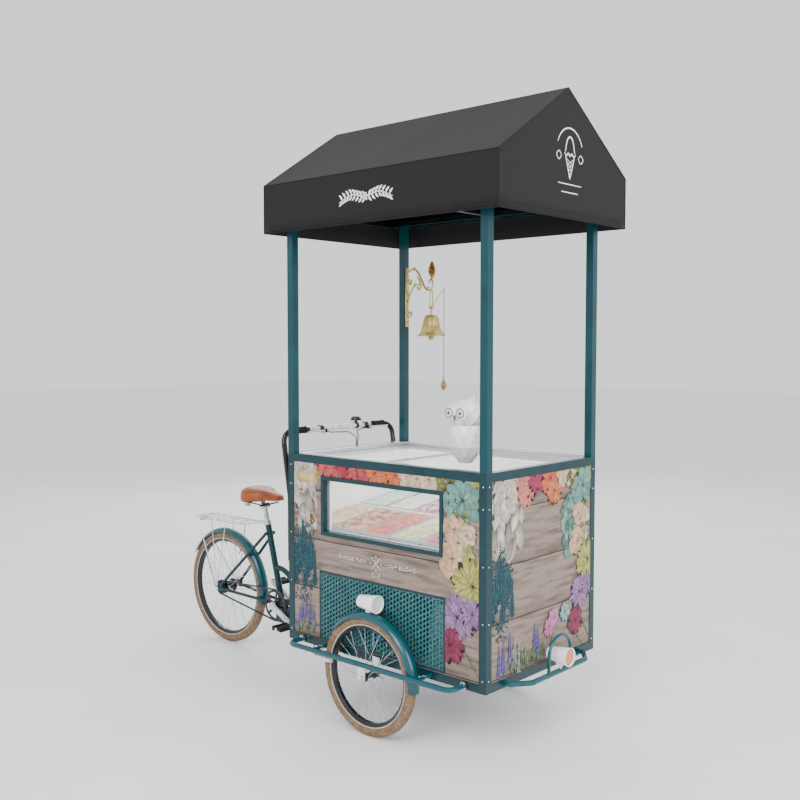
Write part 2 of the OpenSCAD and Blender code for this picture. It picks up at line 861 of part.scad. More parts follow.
// Rim brakes behind the front wheels, hung under the rear braces
module front_caliper() {
    x = front_axle_x - brace_x;
    z = rail_z - 30;
    pad_x = front_axle_x - rim_r(front_r) + 18.5;
    pad_in = 18;
    arm_in = 28;
    arm = 7;
    difference() {
        block([x - 8, -wheel_y - 8, z - 6], [x + 8, -wheel_y + 8, rail_z]);
        y_rod([x, -wheel_y, rail_z], 60, tube_small + 0.1);
    }
    block([x - 6, -wheel_y - arm_in - arm, z - 8], [x + 6, -wheel_y + arm_in + arm, z + 8]);
    translate([0, -wheel_y, 0]) both_sides() {
        block([x - 6, arm_in, z - 8], [pad_x, arm_in + arm, z + 8]);
        block([pad_x - 13, pad_in, z - 10], [pad_x, arm_in, z + 10]);
    }
}

module front_calipers() {
    color(chrome) cart() both_sides() front_caliper();
}

// Handlebar
module handlebar() {
    lean_z = frame_top - 207;
    route = rounded([[upright_x, -bar_half, frame_bottom + 349], [upright_x, -bar_half, lean_z],
        [bar_x, -bar_half, bar_z], [bar_x, bar_half, bar_z],
        [upright_x, bar_half, lean_z], [upright_x, bar_half, frame_bottom + 349]], 55, 5);
    color(black) cart() {
        sweep(route, bar_d, [1, 0, 0], 16);
        for (s = [-1, 1], z = [390, 560])
            block([upright_x, s * bar_half - 10, frame_bottom + z], [-hl, s * bar_half + 10, frame_bottom + z + 24]);
    }
}

module grips() {
    color(black) cart() for (s = [-1, 1]) difference() {
        y_rod([bar_x, s * (grip_in + grip_out) / 2, bar_z], grip_out - grip_in, bar_d + 7);
        y_rod([bar_x, s * (grip_in + grip_out) / 2, bar_z], 2 * grip_out, bar_d + 0.2);
    }
}

lever_pivot_x = bar_x + 30;
lever_pivot_z = bar_z - 8;

// Clamp with a fork for the lever, drawn for the right side
module lever_clamp(y) {
    difference() {
        union() {
            y_rod([bar_x, y, bar_z], 22, bar_d + 9);
            block([bar_x + 8, y - 11, lever_pivot_z - 9], [lever_pivot_x + 8, y + 11, lever_pivot_z + 9]);
        }
        y_rod([bar_x, y, bar_z], 40, bar_d + 0.2);
        block([lever_pivot_x - 9, y - 30, lever_pivot_z - 5], [lever_pivot_x + 30, y + 5, lever_pivot_z + 5]);
    }
    translate([lever_pivot_x, y - 4, lever_pivot_z]) cylinder(h = 16, d = 5, center = true);
}

module handlebar_fittings() {
    color(steel) cart() {
        lever_clamp(-lever_y_right);
        mirror([0, 1, 0]) lever_clamp(-lever_y_left);
        translate([bar_x, 110, bar_z]) {
            difference() {
                y_rod([0, 0, 0], 16, bar_d + 7);
                y_rod([0, 0, 0], 30, bar_d + 0.2);
            }
            translate([0, 0, bar_d / 2 + 2]) cylinder(h = 12, d = 14);
            translate([0, 0, bar_d / 2 + 13]) rotate_extrude()
                polygon([[0, 0], [27, 0], [27, 4], [23, 14], [14, 20], [0, 22]]);
        }
    }
}

module brake_lever(y) {
    difference() {
        union() {
            translate([lever_pivot_x, y - 4, lever_pivot_z]) cylinder(h = 9.4, d = 12, center = true);
            translate([lever_pivot_x, y - 4, lever_pivot_z]) rotate([0, 0, 6])
                translate([-4, -118, -4]) cube([8, 118, 8]);
        }
        translate([lever_pivot_x, y - 4, lever_pivot_z]) cylinder(h = 20, d = 5 + 2 * fit, center = true);
    }
}

module brake_lever_right() {
    color(black) cart() brake_lever(-lever_y_right);
}

module brake_lever_left() {
    color(black) cart() mirror([0, 1, 0]) brake_lever(-lever_y_left);
}

// Route of the cable from the left lever; the right one runs under the bar beside it
cable_x = -hl - 3;
left_cable = [[lever_pivot_x - 6, lever_y_left - 11, bar_z - 8], [lever_pivot_x - 8, 130, bar_z - 16],
    [lever_pivot_x - 8, 95, bar_z - 22], [cable_x - 8, 72, bar_z - 46], [cable_x - 3, 60, bar_z - 80],
    [cable_x, 58, bar_z - 120], [cable_x, 62, frame_top - 70], [cable_x, 90, frame_top - 125],
    [cable_x, 150, frame_top - 165], [cable_x, 210, frame_top - 215], [cable_x, 240, frame_top - 290],
    [cable_x, 250, frame_top - 400], [cable_x, 250, frame_bottom + 120], [cable_x, 250, frame_bottom - 6],
    [cable_x + 6, 253, frame_bottom - 14], [cable_x + 22, 262, frame_bottom - 17],
    [cable_x + 70, 290, frame_bottom - 16], [-hl + 170, 400, frame_bottom - 16],
    [front_axle_x - brace_x - 40, wheel_y, rail_z - 30], [front_axle_x - brace_x - 8, wheel_y, rail_z - 30]];
right_cable = [[lever_pivot_x - 6, -lever_y_right + 11, bar_z - 8], [lever_pivot_x - 14, -80, bar_z - 20],
    [lever_pivot_x - 14, 40, bar_z - 26], [cable_x - 8, 60, bar_z - 50], [cable_x - 3, 52, bar_z - 80],
    [cable_x, 50, bar_z - 120], [cable_x, 46, frame_top - 70], [cable_x, 10, frame_top - 125],
    [cable_x, -80, frame_top - 165], [cable_x, -210, frame_top - 215], [cable_x, -240, frame_top - 290],
    [cable_x, -250, frame_top - 400], [cable_x, -250, frame_bottom + 120], [cable_x, -250, frame_bottom - 6],
    [cable_x + 6, -253, frame_bottom - 14], [cable_x + 22, -262, frame_bottom - 17],
    [cable_x + 70, -290, frame_bottom - 16], [-hl + 170, -400, frame_bottom - 16],
    [front_axle_x - brace_x - 40, -wheel_y, rail_z - 30], [front_axle_x - brace_x - 8, -wheel_y, rail_z - 30]];

module brake_cables() {
    color(black) cart() {
        sweep(left_cable, cable_d, unit([1, 0.31, 0.12]), 8);
        sweep(right_cable, cable_d, unit([1, 0.31, 0.12]), 8);
    }
}

// Steering head under the box
module steering_head() {
    color(steel) cart() translate([pivot_x, 0, 0]) {
        block([-100, -90, frame_bottom - 8], [100, 90, frame_bottom]);
        translate([0, 0, beam_z - 26]) cylinder(h = frame_bottom - 8 - beam_z + 26, d = pin_d);
        translate([0, 0, beam_z + beam_h + 6]) cylinder(h = frame_bottom - 8 - beam_z - beam_h - 6, d = 56);
        translate([0, 0, beam_z - 26]) cylinder(h = 22, d = 46 / cos(30), $fn = 6);
    }
}

// Shop bell on its scroll bracket
module bell_bracket() {
    z = bell_pivot_z;
    scroll = rounded([[post_face_x + 6, bell_y, z + 75], [post_face_x + 20, bell_y, z + 178],
        [post_face_x + 70, bell_y, z + 160], [post_face_x + 92, bell_y, z + 92],
        [bell_x - 6, bell_y, z + 78], [bell_x + 12, bell_y, z + 112], [bell_x + 4, bell_y, z + 146]], 16, 4);
    brace = rounded([[post_face_x + 6, bell_y, z - 60], [post_face_x + 18, bell_y, z + 30],
        [post_face_x + 70, bell_y, z + 84], [post_face_x + 98, bell_y, z + 88]], 26, 5);
    color(brass) cart() {
        block([post_face_x, bell_y - 14, z - 93], [post_face_x + 6, bell_y + 14, z + 203]);
        sweep(scroll, 12, [0, 1, 0], 10);
        sweep(brace, 9, [0, 1, 0], 10);
        translate([post_face_x + 22, bell_y, z - 58]) sphere(d = 34, $fn = 24);
        translate([bell_x + 4, bell_y, z + 144]) rotate_extrude($fn = 24)
            polygon([[0, 0], [8, 2], [17, 16], [20, 32], [17, 50], [10, 66], [4, 76], [0, 80]]);
        difference() {
            block([bell_x - 8, bell_y - 11, z - 9], [bell_x + 8, bell_y + 11, z + 84]);
            block([bell_x - 20, bell_y - 6, z - 20], [bell_x + 20, bell_y + 6, z + 58]);
        }
        y_rod([bell_x, bell_y, z], 22, 6);
    }
}

module shop_bell() {
    r = bell_d / 2;
    wall = 4;
    color(brass) cart() translate([bell_x, bell_y, 0]) {
        difference() {
            union() {
                y_rod([0, 0, bell_pivot_z], 11, 16);
                translate([0, 0, bell_top - 2]) cylinder(h = bell_pivot_z - bell_top - 4, d = 9);
                rod([0, 0, bell_pivot_z], [lever_reach - 4, 0, bell_pivot_z + lever_rise - 4], 5);
                y_rod([lever_reach, 0, bell_pivot_z + lever_rise], 4, 2 * eye_r);
            }
            y_rod([0, 0, bell_pivot_z], 40, 6 + 2 * fit);
            y_rod([lever_reach, 0, bell_pivot_z + lever_rise], 20, 7);
        }
        translate([0, 0, bell_top - bell_h]) rotate_extrude()
            polygon([[r, 0], [r, 5], [0.78 * r, 0.2 * bell_h], [0.62 * r, 0.5 * bell_h],
                [0.52 * r, 0.86 * bell_h], [0.4 * r, bell_h], [0, bell_h], [0, bell_h - wall],
                [0.4 * r - wall, bell_h - wall], [0.52 * r - wall, 0.82 * bell_h],
                [0.62 * r - wall, 0.5 * bell_h], [0.78 * r - wall, 0.2 * bell_h], [r - wall - 3, 0]]);
        for (s = [-1, 1]) translate([0, s * 8, clapper_z + 6]) cube([8, 3, 18], center = true);
        y_rod([0, 0, clapper_z], 18, 4);
    }
}

module bell_clapper() {
    color(brass) cart() translate([bell_x, bell_y, 0]) difference() {
        union() {
            y_rod([0, 0, clapper_z], 10, 11);
            translate([0, 0, bell_top - bell_h]) cylinder(h = clapper_z - bell_top + bell_h - 4, d = 5);
            translate([0, 0, bell_top - bell_h - 4]) sphere(d = 30);
        }
        y_rod([0, 0, clapper_z], 20, 4 + 2 * fit);
    }
}

cord_start = [pull_x, bell_y, pull_z - eye_r - gap];

module pull_cord() {
    route = [for (drop = pull_drop) cord_start - [0, 0, drop]];
    color("#9c7f45") cart() sweep(route, cord_d, [1, 0, 0], 8);
}

module pull_knob() {
    top = cord_start - [0, 0, pull_drop[len(pull_drop) - 1]];
    color("#a67b36") cart() translate(top) mirror([0, 0, 1]) rotate_extrude()
        polygon([[0, 0], [6, 0], [9, 8], [14, 16], [14.5, 26], [11, 40], [5, 52], [0, 58]]);
}

// A faceted ornament that stands on the fixed glass
owl_at = [270, -155];
owl_rings = [[0, 34], [58, 68], [128, 74], [176, 56], [192, 60], [232, 66], [258, 44]];

module owl_ornament() {
    sides = 8;
    n = len(owl_rings);
    points = [for (i = [0 : n - 1], k = [0 : sides - 1])
        let(q = polar(owl_rings[i][1], 360 * (k + (i % 2) / 2) / sides)) [q[0], q[1], owl_rings[i][0]]];
    walls = [for (i = [0 : n - 2], k = [0 : sides - 1])
        let(m = (k + 1) % sides, s = i * sides)
            each [[s + k, s + sides + (i % 2 == 0 ? k : m), s + m],
                (i % 2 == 0 ? [s + m, s + sides + k, s + sides + m] : [s + k, s + sides + k, s + sides + m])]];
    caps = [[for (k = [0 : sides - 1]) k], [for (k = [sides - 1 : -1 : 0]) (n - 1) * sides + k]];
    color(white) cart() translate([owl_at[0], owl_at[1], frame_top]) {
        polyhedron(points = points, faces = concat(caps, walls));
        rotate([0, 0, -48]) for (s = [-1, 1])
            translate([0, s * 34, 240]) cylinder(h = 40, d1 = 36, d2 = 4, $fn = 4);
    }
}

// Bicycle
module bike_frame() {
    shell = [crank_x, 0, crank_z];
    axle_z = rear_r;
    loop_r = 135;
    stay_join = shell + seat_dir * (seat_tube_l - 66);
    color(teal) cart() difference() {
        union() {
            rod(shell, seat_top, seat_tube_d);
            y_rod(shell, 2 * shell_half, 42);
            block([crank_x - 8, -beam_w / 2, beam_z], [pivot_x, beam_w / 2, beam_z + beam_h]);
            block([crank_x - 20, -beam_w / 2, beam_z], [crank_x + 20, beam_w / 2, crank_z]);
            translate([pivot_x, 0, beam_z - 2]) cylinder(h = beam_h + 7.5, d = 60);
            y_rod([rear_x + mudguard_r + guard_t + 6.2, 0, crank_z + 6], 62, 12);
            at_axle(crank_x - 28, 0, crank_z + 48)
                rotate([0, 0, -32]) rotate_extrude(angle = 127, $fn = 96) translate([loop_r, 0]) circle(d = 28);
            y_rod(stay_join, 62, 18);
            for (s = [-1, 1]) {
                rod([crank_x - 12, s * 26, crank_z], [rear_x + 12, s * dropout_y, axle_z], tube_small);
                rod([rear_x + 10, s * dropout_y, axle_z + 8], stay_join + [0, s * 27, 0], tube_small);
                block([rear_x - 16, s * dropout_y - 3, axle_z - 14], [rear_x + 34, s * dropout_y + 3, axle_z + 22]);
            }
        }
        rod(shell + seat_dir * 60, seat_top + seat_dir * 9, post_d + 2 * fit);
        y_rod(shell, 200, 17 + 2 * fit);
        translate([pivot_x, 0, beam_z - 20]) cylinder(h = beam_h + 60, d = pin_d + 2 * fit);
        for (s = [-1, 1]) y_rod([rear_x, s * dropout_y, axle_z], 40, axle_d + 0.4);
    }
}

module rear_mudguard() {
    hold = polar(mudguard_r - 6, 128);
    color(teal) cart() {
        at_axle(rear_x, 0, rear_r) guard(mudguard_r, -9, 150);
        for (s = [-1, 1])
            rod([rear_x - 10, s * (dropout_y + 7), rear_r - 8],
                [rear_x + hold[0], s * (guard_half + 2.3), rear_r + hold[1]], 4);
    }
}

rack_z = 672;
rack_hw = 70;
arm_y_rack = seat_tube_d / 2 + 4.6;
rack_x = [rear_x - 215, rear_x + 165];

module rear_rack() {
    rim = rounded([[seat_top[0] + 2, -arm_y_rack, seat_top[2] - 6], [rack_x[1], -rack_hw, rack_z],
        [rack_x[0], -rack_hw, rack_z], [rack_x[0], rack_hw, rack_z], [rack_x[1], rack_hw, rack_z],
        [seat_top[0] + 2, arm_y_rack, seat_top[2] - 6]], 28, 4);
    color(chrome) cart() {
        sweep(rim, wire + 3, [0.1, 0.05, 1], 8);
        for (i = [0 : 4])
            y_rod([rack_x[0] + 40 + i * 72, 0, rack_z], 2 * rack_hw, wire);
        for (y = [-24, 24]) rod([rack_x[0], y, rack_z + 1], [rack_x[1] + 2, y, rack_z + 1], wire);
        for (s = [-1, 1], x = [rack_x[0] + 36, rear_x - 50, rear_x + 70])
            rod([x, s * rack_hw, rack_z],
                [rear_x - 8 + (x - rear_x) / 30, s * (dropout_y + 3 + wire / 2), rear_r + 13], wire);
        difference() {
            rod(seat_top - seat_dir * 22, seat_top, seat_tube_d + 9);
            rod(seat_top - seat_dir * 60, seat_top + seat_dir * 20, seat_tube_d + 0.1);
        }
    }
}

module rear_axle() {
    color(steel) cart() {
        y_rod([rear_x, 0, rear_r], 2 * dropout_y + 34, axle_d);
        for (s = [-1, 1]) {
            hex([rear_x, s * (dropout_y + 8), rear_r], 8, 17);
            y_rod([rear_x, s * (dropout_y + rear_hub_half - 1.5) / 2, rear_r],
                dropout_y - rear_hub_half - 4.5, 17);
        }
    }
}

// Chain outline in the X-Z plane, out by extra from the pitch line
function chain_points(extra) =
    let(d = [rear_x - crank_x, rear_r - crank_z], far = norm(d), lie = atan2(-d[1], -d[0]),
        wrap = acos((cog_r - ring_r) / far))
    [
        for (k = [0 : 24]) [crank_x, crank_z] + polar(ring_r + extra, lie - wrap + 2 * wrap * k / 24),
        for (k = [0 : 14]) [rear_x, rear_r] + polar(cog_r + extra, lie + wrap + (360 - 2 * wrap) * k / 14)
    ];

module chain() {
    color(charcoal) cart() y_plate(ring_y - 3.5, ring_y + 3.5) difference() {
        polygon(chain_points(9));
        polygon(chain_points(4.6));
    }
}

module sprocket(teeth, r) {
    circle(r = r - 3);
    for (k = [0 : teeth - 1]) rotate(360 * k / teeth) translate([r - 5, 0])
        polygon([[0, -3.4], [4, -2.4], [8, -0.8], [8, 0.8], [4, 2.4], [0, 3.4]]);
}

module rear_wheel_at() {
    cart() at_axle(rear_x, 0, rear_r) children();
}

module rear_tyre() {
    color(tan_rubber) rear_wheel_at() tyre(rear_r);
}

module rear_rim() {
    color(black) rear_wheel_at() rim(rear_r);
}

module rear_hub() {
    color(black) rear_wheel_at() {
        hub(rear_r, rear_hub_half, 44, 30, rear_spokes);
        difference() {
            translate([0, 0, -ring_y - 1.5]) linear_extrude(3) sprocket(cog_teeth, cog_r);
            translate([0, 0, -ring_y - 9]) cylinder(h = 18, d = 44);
        }
    }
}

// Crank arm along its angle, on one side
module crank_arm(side, angle) {
    at_axle(crank_x, side * (arm_y + arm_t / 2), crank_z) rotate([0, 0, angle]) {
        cylinder(h = arm_t, d = 36, center = true);
        translate([0, -11, -arm_t / 2]) cube([crank_l, 22, arm_t]);
        translate([crank_l, 0, 0]) cylinder(h = arm_t, d = 28, center = true);
        translate([crank_l, 0, -side * (arm_t / 2 + pedal_l / 2)]) cylinder(h = pedal_l + 2, d = 10, center = true);
        translate([crank_l, 0, -side * (arm_t / 2 + pedal_l + 2)]) cylinder(h = 3, d = 15, center = true);
    }
}

module crankset() {
    color(black) cart() {
        y_rod([crank_x, 0, crank_z], 2 * arm_y + 2, 17);
        crank_arm(-1, crank_angle);
        crank_arm(1, crank_angle + 180);
        y_plate(ring_y - 1.5, ring_y + 1.5) translate([crank_x, crank_z]) {
            difference() {
                rotate(crank_angle) sprocket(ring_teeth, ring_r);
                circle(r = ring_r - 14);
            }
            for (k = [0 : 4]) rotate(crank_angle + 36 + 72 * k) translate([0, -7]) square([ring_r - 10, 14]);
            circle(r = 24);
        }
    }
}

// Pedal around its own axle
module pedal(side, angle) {
    at = polar(crank_l, angle);
    mid = side * (arm_y + arm_t + pedal_l / 2 + 1);
    color(black) cart() translate([crank_x + at[0], mid, crank_z + at[1]]) difference() {
        union() {
            y_rod([0, 0, 0], pedal_l - 4, 20);
            for (s = [-1, 1]) {
                translate([s * (pedal_wide / 2 - 7), 0, 0]) cube([14, pedal_l - 4, 22], center = true);
                translate([0, s * (pedal_l / 2 - 6), 0]) cube([pedal_wide, 8, 14], center = true);
            }
        }
        y_rod([0, 0, 0], 2 * pedal_l, 10 + 2 * fit);
    }
}

module pedal_right() {
    pedal(-1, crank_angle);
}

module pedal_left() {
    pedal(1, crank_angle + 180);
}

module seatpost() {
    top = seat_top + seat_dir * 84;
    clamp_d = 30;
    color(chrome) cart() {
        rod(seat_top - seat_dir * 150, top, post_d);
        y_rod([top[0], 0, saddle_z - 86 - clamp_d / 2], 54, clamp_d);
    }
}

// Padded saddle, a plain closed solid over its steel pan
module saddle() {
    nose = seat_top[0] + 112;
    base = saddle_z - 92;
    color(leather) cart() difference() {
        hull() {
            translate([nose - 22, 0, saddle_z - 56]) scale([1.2, 1, 1]) sphere(d = 42, $fn = 20);
            for (s = [-1, 1]) translate([nose - 206, s * 50, saddle_z - 58]) sphere(d = 100, $fn = 20);
            translate([nose - 190, 0, saddle_z - 36]) sphere(d = 72, $fn = 20);
        }
        block([nose - 400, -200, base - 100], [nose + 100, 200, base + 6]);
    }
}

box_frame();
floor_panel();
side_panels();
end_panels();
window_frame();
fixed_glass();
vent_grilles();
label_plate();
display_tub();
pan_deck();
gelato_pans();
gelato_fills();
counter_rim();
glass_lid();
cooling_unit();
condenser_fan();
battery();
service_door();
door_hinges();
canopy_frame();
canopy_cover();
side_rails();
front_fenders();
lamp_housings();
lamp_lenses();
bumper_rail();
front_axles();
front_calipers();
front_tyre_right();
front_rim_right();
front_hub_right();
front_tyre_left();
front_rim_left();
front_hub_left();
handlebar();
grips();
handlebar_fittings();
brake_lever_right();
brake_lever_left();
brake_cables();
steering_head();
bell_bracket();
shop_bell();
bell_clapper();
pull_cord();
pull_knob();
owl_ornament();
bike_frame();
rear_mudguard();
rear_rack();
rear_axle();
chain();
rear_tyre();
rear_rim();
rear_hub();
crankset();
pedal_right();
pedal_left();
seatpost();
saddle();
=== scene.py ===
"""The looks of the pedal vending cart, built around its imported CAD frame. Lengths are in mm in the frame of the box."""

import math
import random

import bmesh
import bpy
import numpy as np
from mathutils import Matrix, Vector


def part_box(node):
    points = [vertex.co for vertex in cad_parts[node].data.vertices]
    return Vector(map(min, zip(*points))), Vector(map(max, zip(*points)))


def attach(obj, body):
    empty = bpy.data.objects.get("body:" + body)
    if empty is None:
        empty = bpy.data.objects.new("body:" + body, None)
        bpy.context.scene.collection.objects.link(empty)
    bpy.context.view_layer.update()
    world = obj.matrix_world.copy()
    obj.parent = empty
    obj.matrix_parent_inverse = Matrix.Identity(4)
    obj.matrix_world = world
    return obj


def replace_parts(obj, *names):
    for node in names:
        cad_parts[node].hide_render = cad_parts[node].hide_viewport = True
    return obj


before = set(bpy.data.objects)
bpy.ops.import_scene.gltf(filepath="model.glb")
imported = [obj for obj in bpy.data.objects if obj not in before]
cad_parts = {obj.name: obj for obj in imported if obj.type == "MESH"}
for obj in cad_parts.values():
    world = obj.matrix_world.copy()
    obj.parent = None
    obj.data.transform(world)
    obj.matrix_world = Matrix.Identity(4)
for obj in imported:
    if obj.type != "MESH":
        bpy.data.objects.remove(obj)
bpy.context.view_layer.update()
scene = bpy.context.scene
chance = random.Random(11)
TAU = 2 * math.pi

box_low, box_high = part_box("box_frame")
MID_X = (box_low.x + box_high.x) / 2


def at(x, y, z):
    """A point in the row frame from millimetres in the frame of the box."""
    return Vector((MID_X + x / 1000, y / 1000, z / 1000))


def node_box(node, keep=None):
    """Low and high corner of a CAD node in mm in the frame of the box, or of the part of it that keep picks."""
    co = np.array([v.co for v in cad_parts[node].data.vertices]) * 1000
    co[:, 0] -= MID_X * 1000
    if keep is not None:
        co = co[[bool(keep(p)) for p in co]]
    return co.min(0), co.max(0)


# Camera at the photograph's angle
camera_data = bpy.data.cameras.new("Camera")
camera_data.lens = 44.02
camera_data.sensor_width = 36
camera = bpy.data.objects.new("Camera", camera_data)
camera.location = (3.30625, -3.3212, 1.6172)
camera.rotation_euler = (math.radians(90 - 3.1726), 0, math.radians(41.9))
scene.collection.objects.link(camera)
scene.camera = camera


# Materials
def rgb(code, alpha=1.0):
    """Linear colour of a hex code."""
    parts = [int(code[i : i + 2], 16) / 255 for i in (1, 3, 5)]
    return (*[c / 12.92 if c <= 0.04045 else ((c + 0.055) / 1.055) ** 2.4 for c in parts], alpha)


def mix(a, b, t):
    return tuple(x + (y - x) * t for x, y in zip(a, b))


class Paint:
    """A material whose colour, roughness and bump all vary with noise in the piece's own coordinates."""

    def __init__(self, name, colours, rough=(0.35, 0.5), metal=0.0, scale=30, stretch=(1, 1, 1),
                 detail=3, coat=0.0, bump=0.0, bump_scale=300, alpha=1.0, glow=0.0, sheen=0.0, gloss=0.3):
        self.mat = bpy.data.materials.new(name)
        self.mat.use_nodes = True
        self.tree = self.mat.node_tree
        self.shader = self.tree.nodes["Principled BSDF"]
        self.coords = self.tree.nodes.new("ShaderNodeTexCoord").outputs["Object"]
        mapping = self.add("ShaderNodeMapping", {"Vector": self.coords})
        mapping.inputs["Scale"].default_value = stretch
        self.place = mapping.outputs[0]
        noise = self.add("ShaderNodeTexNoise", {"Vector": self.place})
        noise.inputs["Scale"].default_value = scale
        noise.inputs["Detail"].default_value = detail
        self.noise = noise.outputs[0]
        gaps = len(colours) - 1
        self.colour = self.ramp(self.noise, [(0.3 + 0.4 * i / gaps, rgb(c)) for i, c in enumerate(colours)])
        spread = self.add("ShaderNodeMapRange", {"Value": self.noise})
        spread.inputs["To Min"].default_value = rough[0]
        spread.inputs["To Max"].default_value = rough[1]
        self.link(spread.outputs[0], self.shader.inputs["Roughness"])
        self.shader.inputs["Metallic"].default_value = metal
        self.shader.inputs["Coat Weight"].default_value = coat
        self.shader.inputs["Coat Roughness"].default_value = 0.08
        self.shader.inputs["Specular IOR Level"].default_value = gloss
        self.shader.inputs["Sheen Weight"].default_value = sheen
        self.shader.inputs["Alpha"].default_value = alpha
        self.glow = glow
        if bump:
            grain = self.add("ShaderNodeTexNoise", {"Vector": self.place})
            grain.inputs["Scale"].default_value = bump_scale
            grain.inputs["Detail"].default_value = 2
            self.bump(grain.outputs[0], bump)
        self.use(self.colour)

    def add(self, kind, inputs=None):
        node = self.tree.nodes.new(kind)
        for name, source in (inputs or {}).items():
            self.link(source, node.inputs[name])
        return node

    def link(self, a, b):
        self.tree.links.new(a, b)

    def use(self, colour):
        """Colour goes to the shader, and to its glow if the material has one."""
        self.colour = colour
        self.link(colour, self.shader.inputs["Base Color"])
        if self.glow:
            self.link(colour, self.shader.inputs["Emission Color"])
            self.shader.inputs["Emission Strength"].default_value = self.glow
        return self

    def ramp(self, value, stops):
        node = self.add("ShaderNodeValToRGB", {"Fac": value})
        while len(node.color_ramp.elements) < len(stops):
            node.color_ramp.elements.new(0.5)
        for element, (place, colour) in zip(node.color_ramp.elements, stops):
            element.position = place
            element.color = colour
        return node.outputs[0]

    def bump(self, height, strength, distance=0.001):
        node = self.add("ShaderNodeBump", {"Height": height})
        node.inputs["Strength"].default_value = strength
        node.inputs["Distance"].default_value = distance
        self.link(node.outputs[0], self.shader.inputs["Normal"])
        return node

    def math(self, operation, a, b=None):
        node = self.tree.nodes.new("ShaderNodeMath")
        node.operation = operation
        self.link(a, node.inputs[0])
        if b is not None:
            node.inputs[1].default_value = b
        return node.outputs[0]

    def axis(self, letter):
        return self.add("ShaderNodeSeparateXYZ", {"Vector": self.coords}).outputs[letter]

    def blend(self, mask, other):
        """Second colour where the mask is 1."""
        node = self.tree.nodes.new("ShaderNodeMix")
        node.data_type = "RGBA"
        self.link(mask, node.inputs["Factor"])
        self.link(self.colour, node.inputs[6])
        self.link(other, node.inputs[7])
        return self.use(node.outputs[2])

    def painted(self, attribute="Print"):
        """Colour of the mesh's own points, with a little of the noise over it."""
        node = self.tree.nodes.new("ShaderNodeAttribute")
        node.attribute_name = attribute
        over = self.tree.nodes.new("ShaderNodeMix")
        over.data_type = "RGBA"
        over.blend_type = "MULTIPLY"
        over.inputs["Factor"].default_value = 1.0
        self.link(self.colour, over.inputs[6])
        self.link(node.outputs["Color"], over.inputs[7])
        return self.use(over.outputs[2])


def rich(colour, depth=1.55):
    """The printed colour with the softening of the view taken back out."""
    return (*[max(0.0, c) ** depth * 0.92 for c in colour[:3]], 1)


def second_colour(paint, codes):
    return paint.ramp(paint.noise, [(0.35, rgb(codes[0])), (0.65, rgb(codes[1]))])


def split(paint, axis, test, limit, codes):
    """Another colour where the coordinate passes the limit; ABSOLUTE is taken first for an axis written as |Y|."""
    value = paint.axis(axis.strip("|"))
    if "|" in axis:
        value = paint.math("ABSOLUTE", value)
    paint.blend(paint.math(test, value, limit), second_colour(paint, codes))


teal = Paint("teal_paint", ["#00262c", "#003037", "#002b32"], (0.3, 0.42), coat=0.12, scale=14, bump=0.05)
post_paint = Paint("post_paint", ["#00343b", "#003f47"], (0.3, 0.42), coat=0.12, scale=9, bump=0.05)
split(post_paint, "Z", "GREATER_THAN", 2.214, ("#08080a", "#101012"))
bright_teal = Paint("fender_paint", ["#00414a", "#004a54", "#003c45"], (0.2, 0.3), coat=0.4, scale=10)
black = Paint("black_metal", ["#101113", "#18191b"], (0.28, 0.42), scale=40, coat=0.3)
chrome = Paint("bright_steel", ["#c9cbcd", "#e9eaec"], (0.08, 0.2), metal=1.0, scale=25)
steel = Paint("stainless", ["#bfc2c4", "#d9dbdc"], (0.22, 0.36), metal=1.0, scale=60, stretch=(1, 8, 8))
case_steel = Paint("case_steel", ["#c4c8c9", "#d6d9d9"], (0.3, 0.4), metal=0.3, scale=30)
hub_grey = Paint("hub_grey", ["#8d9093", "#a9acae"], (0.25, 0.4), metal=1.0, scale=60)
brass = Paint("brass", ["#a68a45", "#c9af6d", "#dcc88c"], (0.3, 0.45), metal=0.45, scale=22, bump=0.06)
old_brass = Paint("old_brass", ["#84682e", "#c1a35c", "#e3cf93"], (0.28, 0.45), metal=0.8, scale=70, bump=0.2)
gloss_white = Paint("lamp_white", ["#f4f4f2", "#ffffff"], (0.15, 0.25), coat=0.5, scale=8)
# Painted light: the tub lining glows a little although it is no lamp, standing in for the light inside the case.
glowing_lining = Paint("tub_lining", ["#e9eced", "#f4f6f6"], (0.35, 0.5), scale=12, glow=0.3)
deck_white = Paint("deck_white", ["#c9cdce", "#dadddd"], (0.3, 0.45), scale=12, glow=0.0)
led = Paint("led", ["#f4fbff", "#ffffff"], (0.3, 0.4), scale=50, glow=1.2)
glass = Paint("glass", ["#dcebea", "#f5ffff"], (0.02, 0.06), scale=5, alpha=0.1)
dark = Paint("machine_black", ["#17181a", "#222326"], (0.4, 0.6), scale=50, bump=0.1)
floor_metal = Paint("floor_sheet", ["#8c8f91", "#a3a6a8"], (0.35, 0.5), metal=0.8, scale=60)
rubber = Paint("grip_rubber", ["#0c0c0d", "#1a1a1b"], (0.6, 0.8), scale=80, bump=0.4, bump_scale=900)
cable_skin = Paint("cable_black", ["#0b0b0c", "#18181a"], (0.35, 0.5), scale=200, bump=0.1)
tyre_tan = Paint("tan_tyre", ["#6a5138", "#7b614a", "#8b725a"], (0.6, 0.8), scale=60, bump=0.3, bump_scale=1200)
tyre_band = Paint("tyre_band", ["#a9a59d", "#cfccc5"], (0.5, 0.7), scale=90)
leather = Paint("saddle_leather", ["#74330f", "#8f4519", "#a65726"], (0.38, 0.55), scale=14, coat=0.15)
pores = leather.add("ShaderNodeTexVoronoi", {"Vector": leather.place})
pores.inputs["Scale"].default_value = 420
leather.bump(pores.outputs["Distance"], 0.35, 0.0006)
thread = Paint("thread", ["#6b3418", "#8a4a25"], (0.6, 0.8), scale=300)
twine = Paint("cord_cotton", ["#6d5a34", "#a88d57", "#c3a970"], (0.7, 0.9), scale=600, stretch=(1, 1, 0.5),
              bump=0.5, bump_scale=1500)
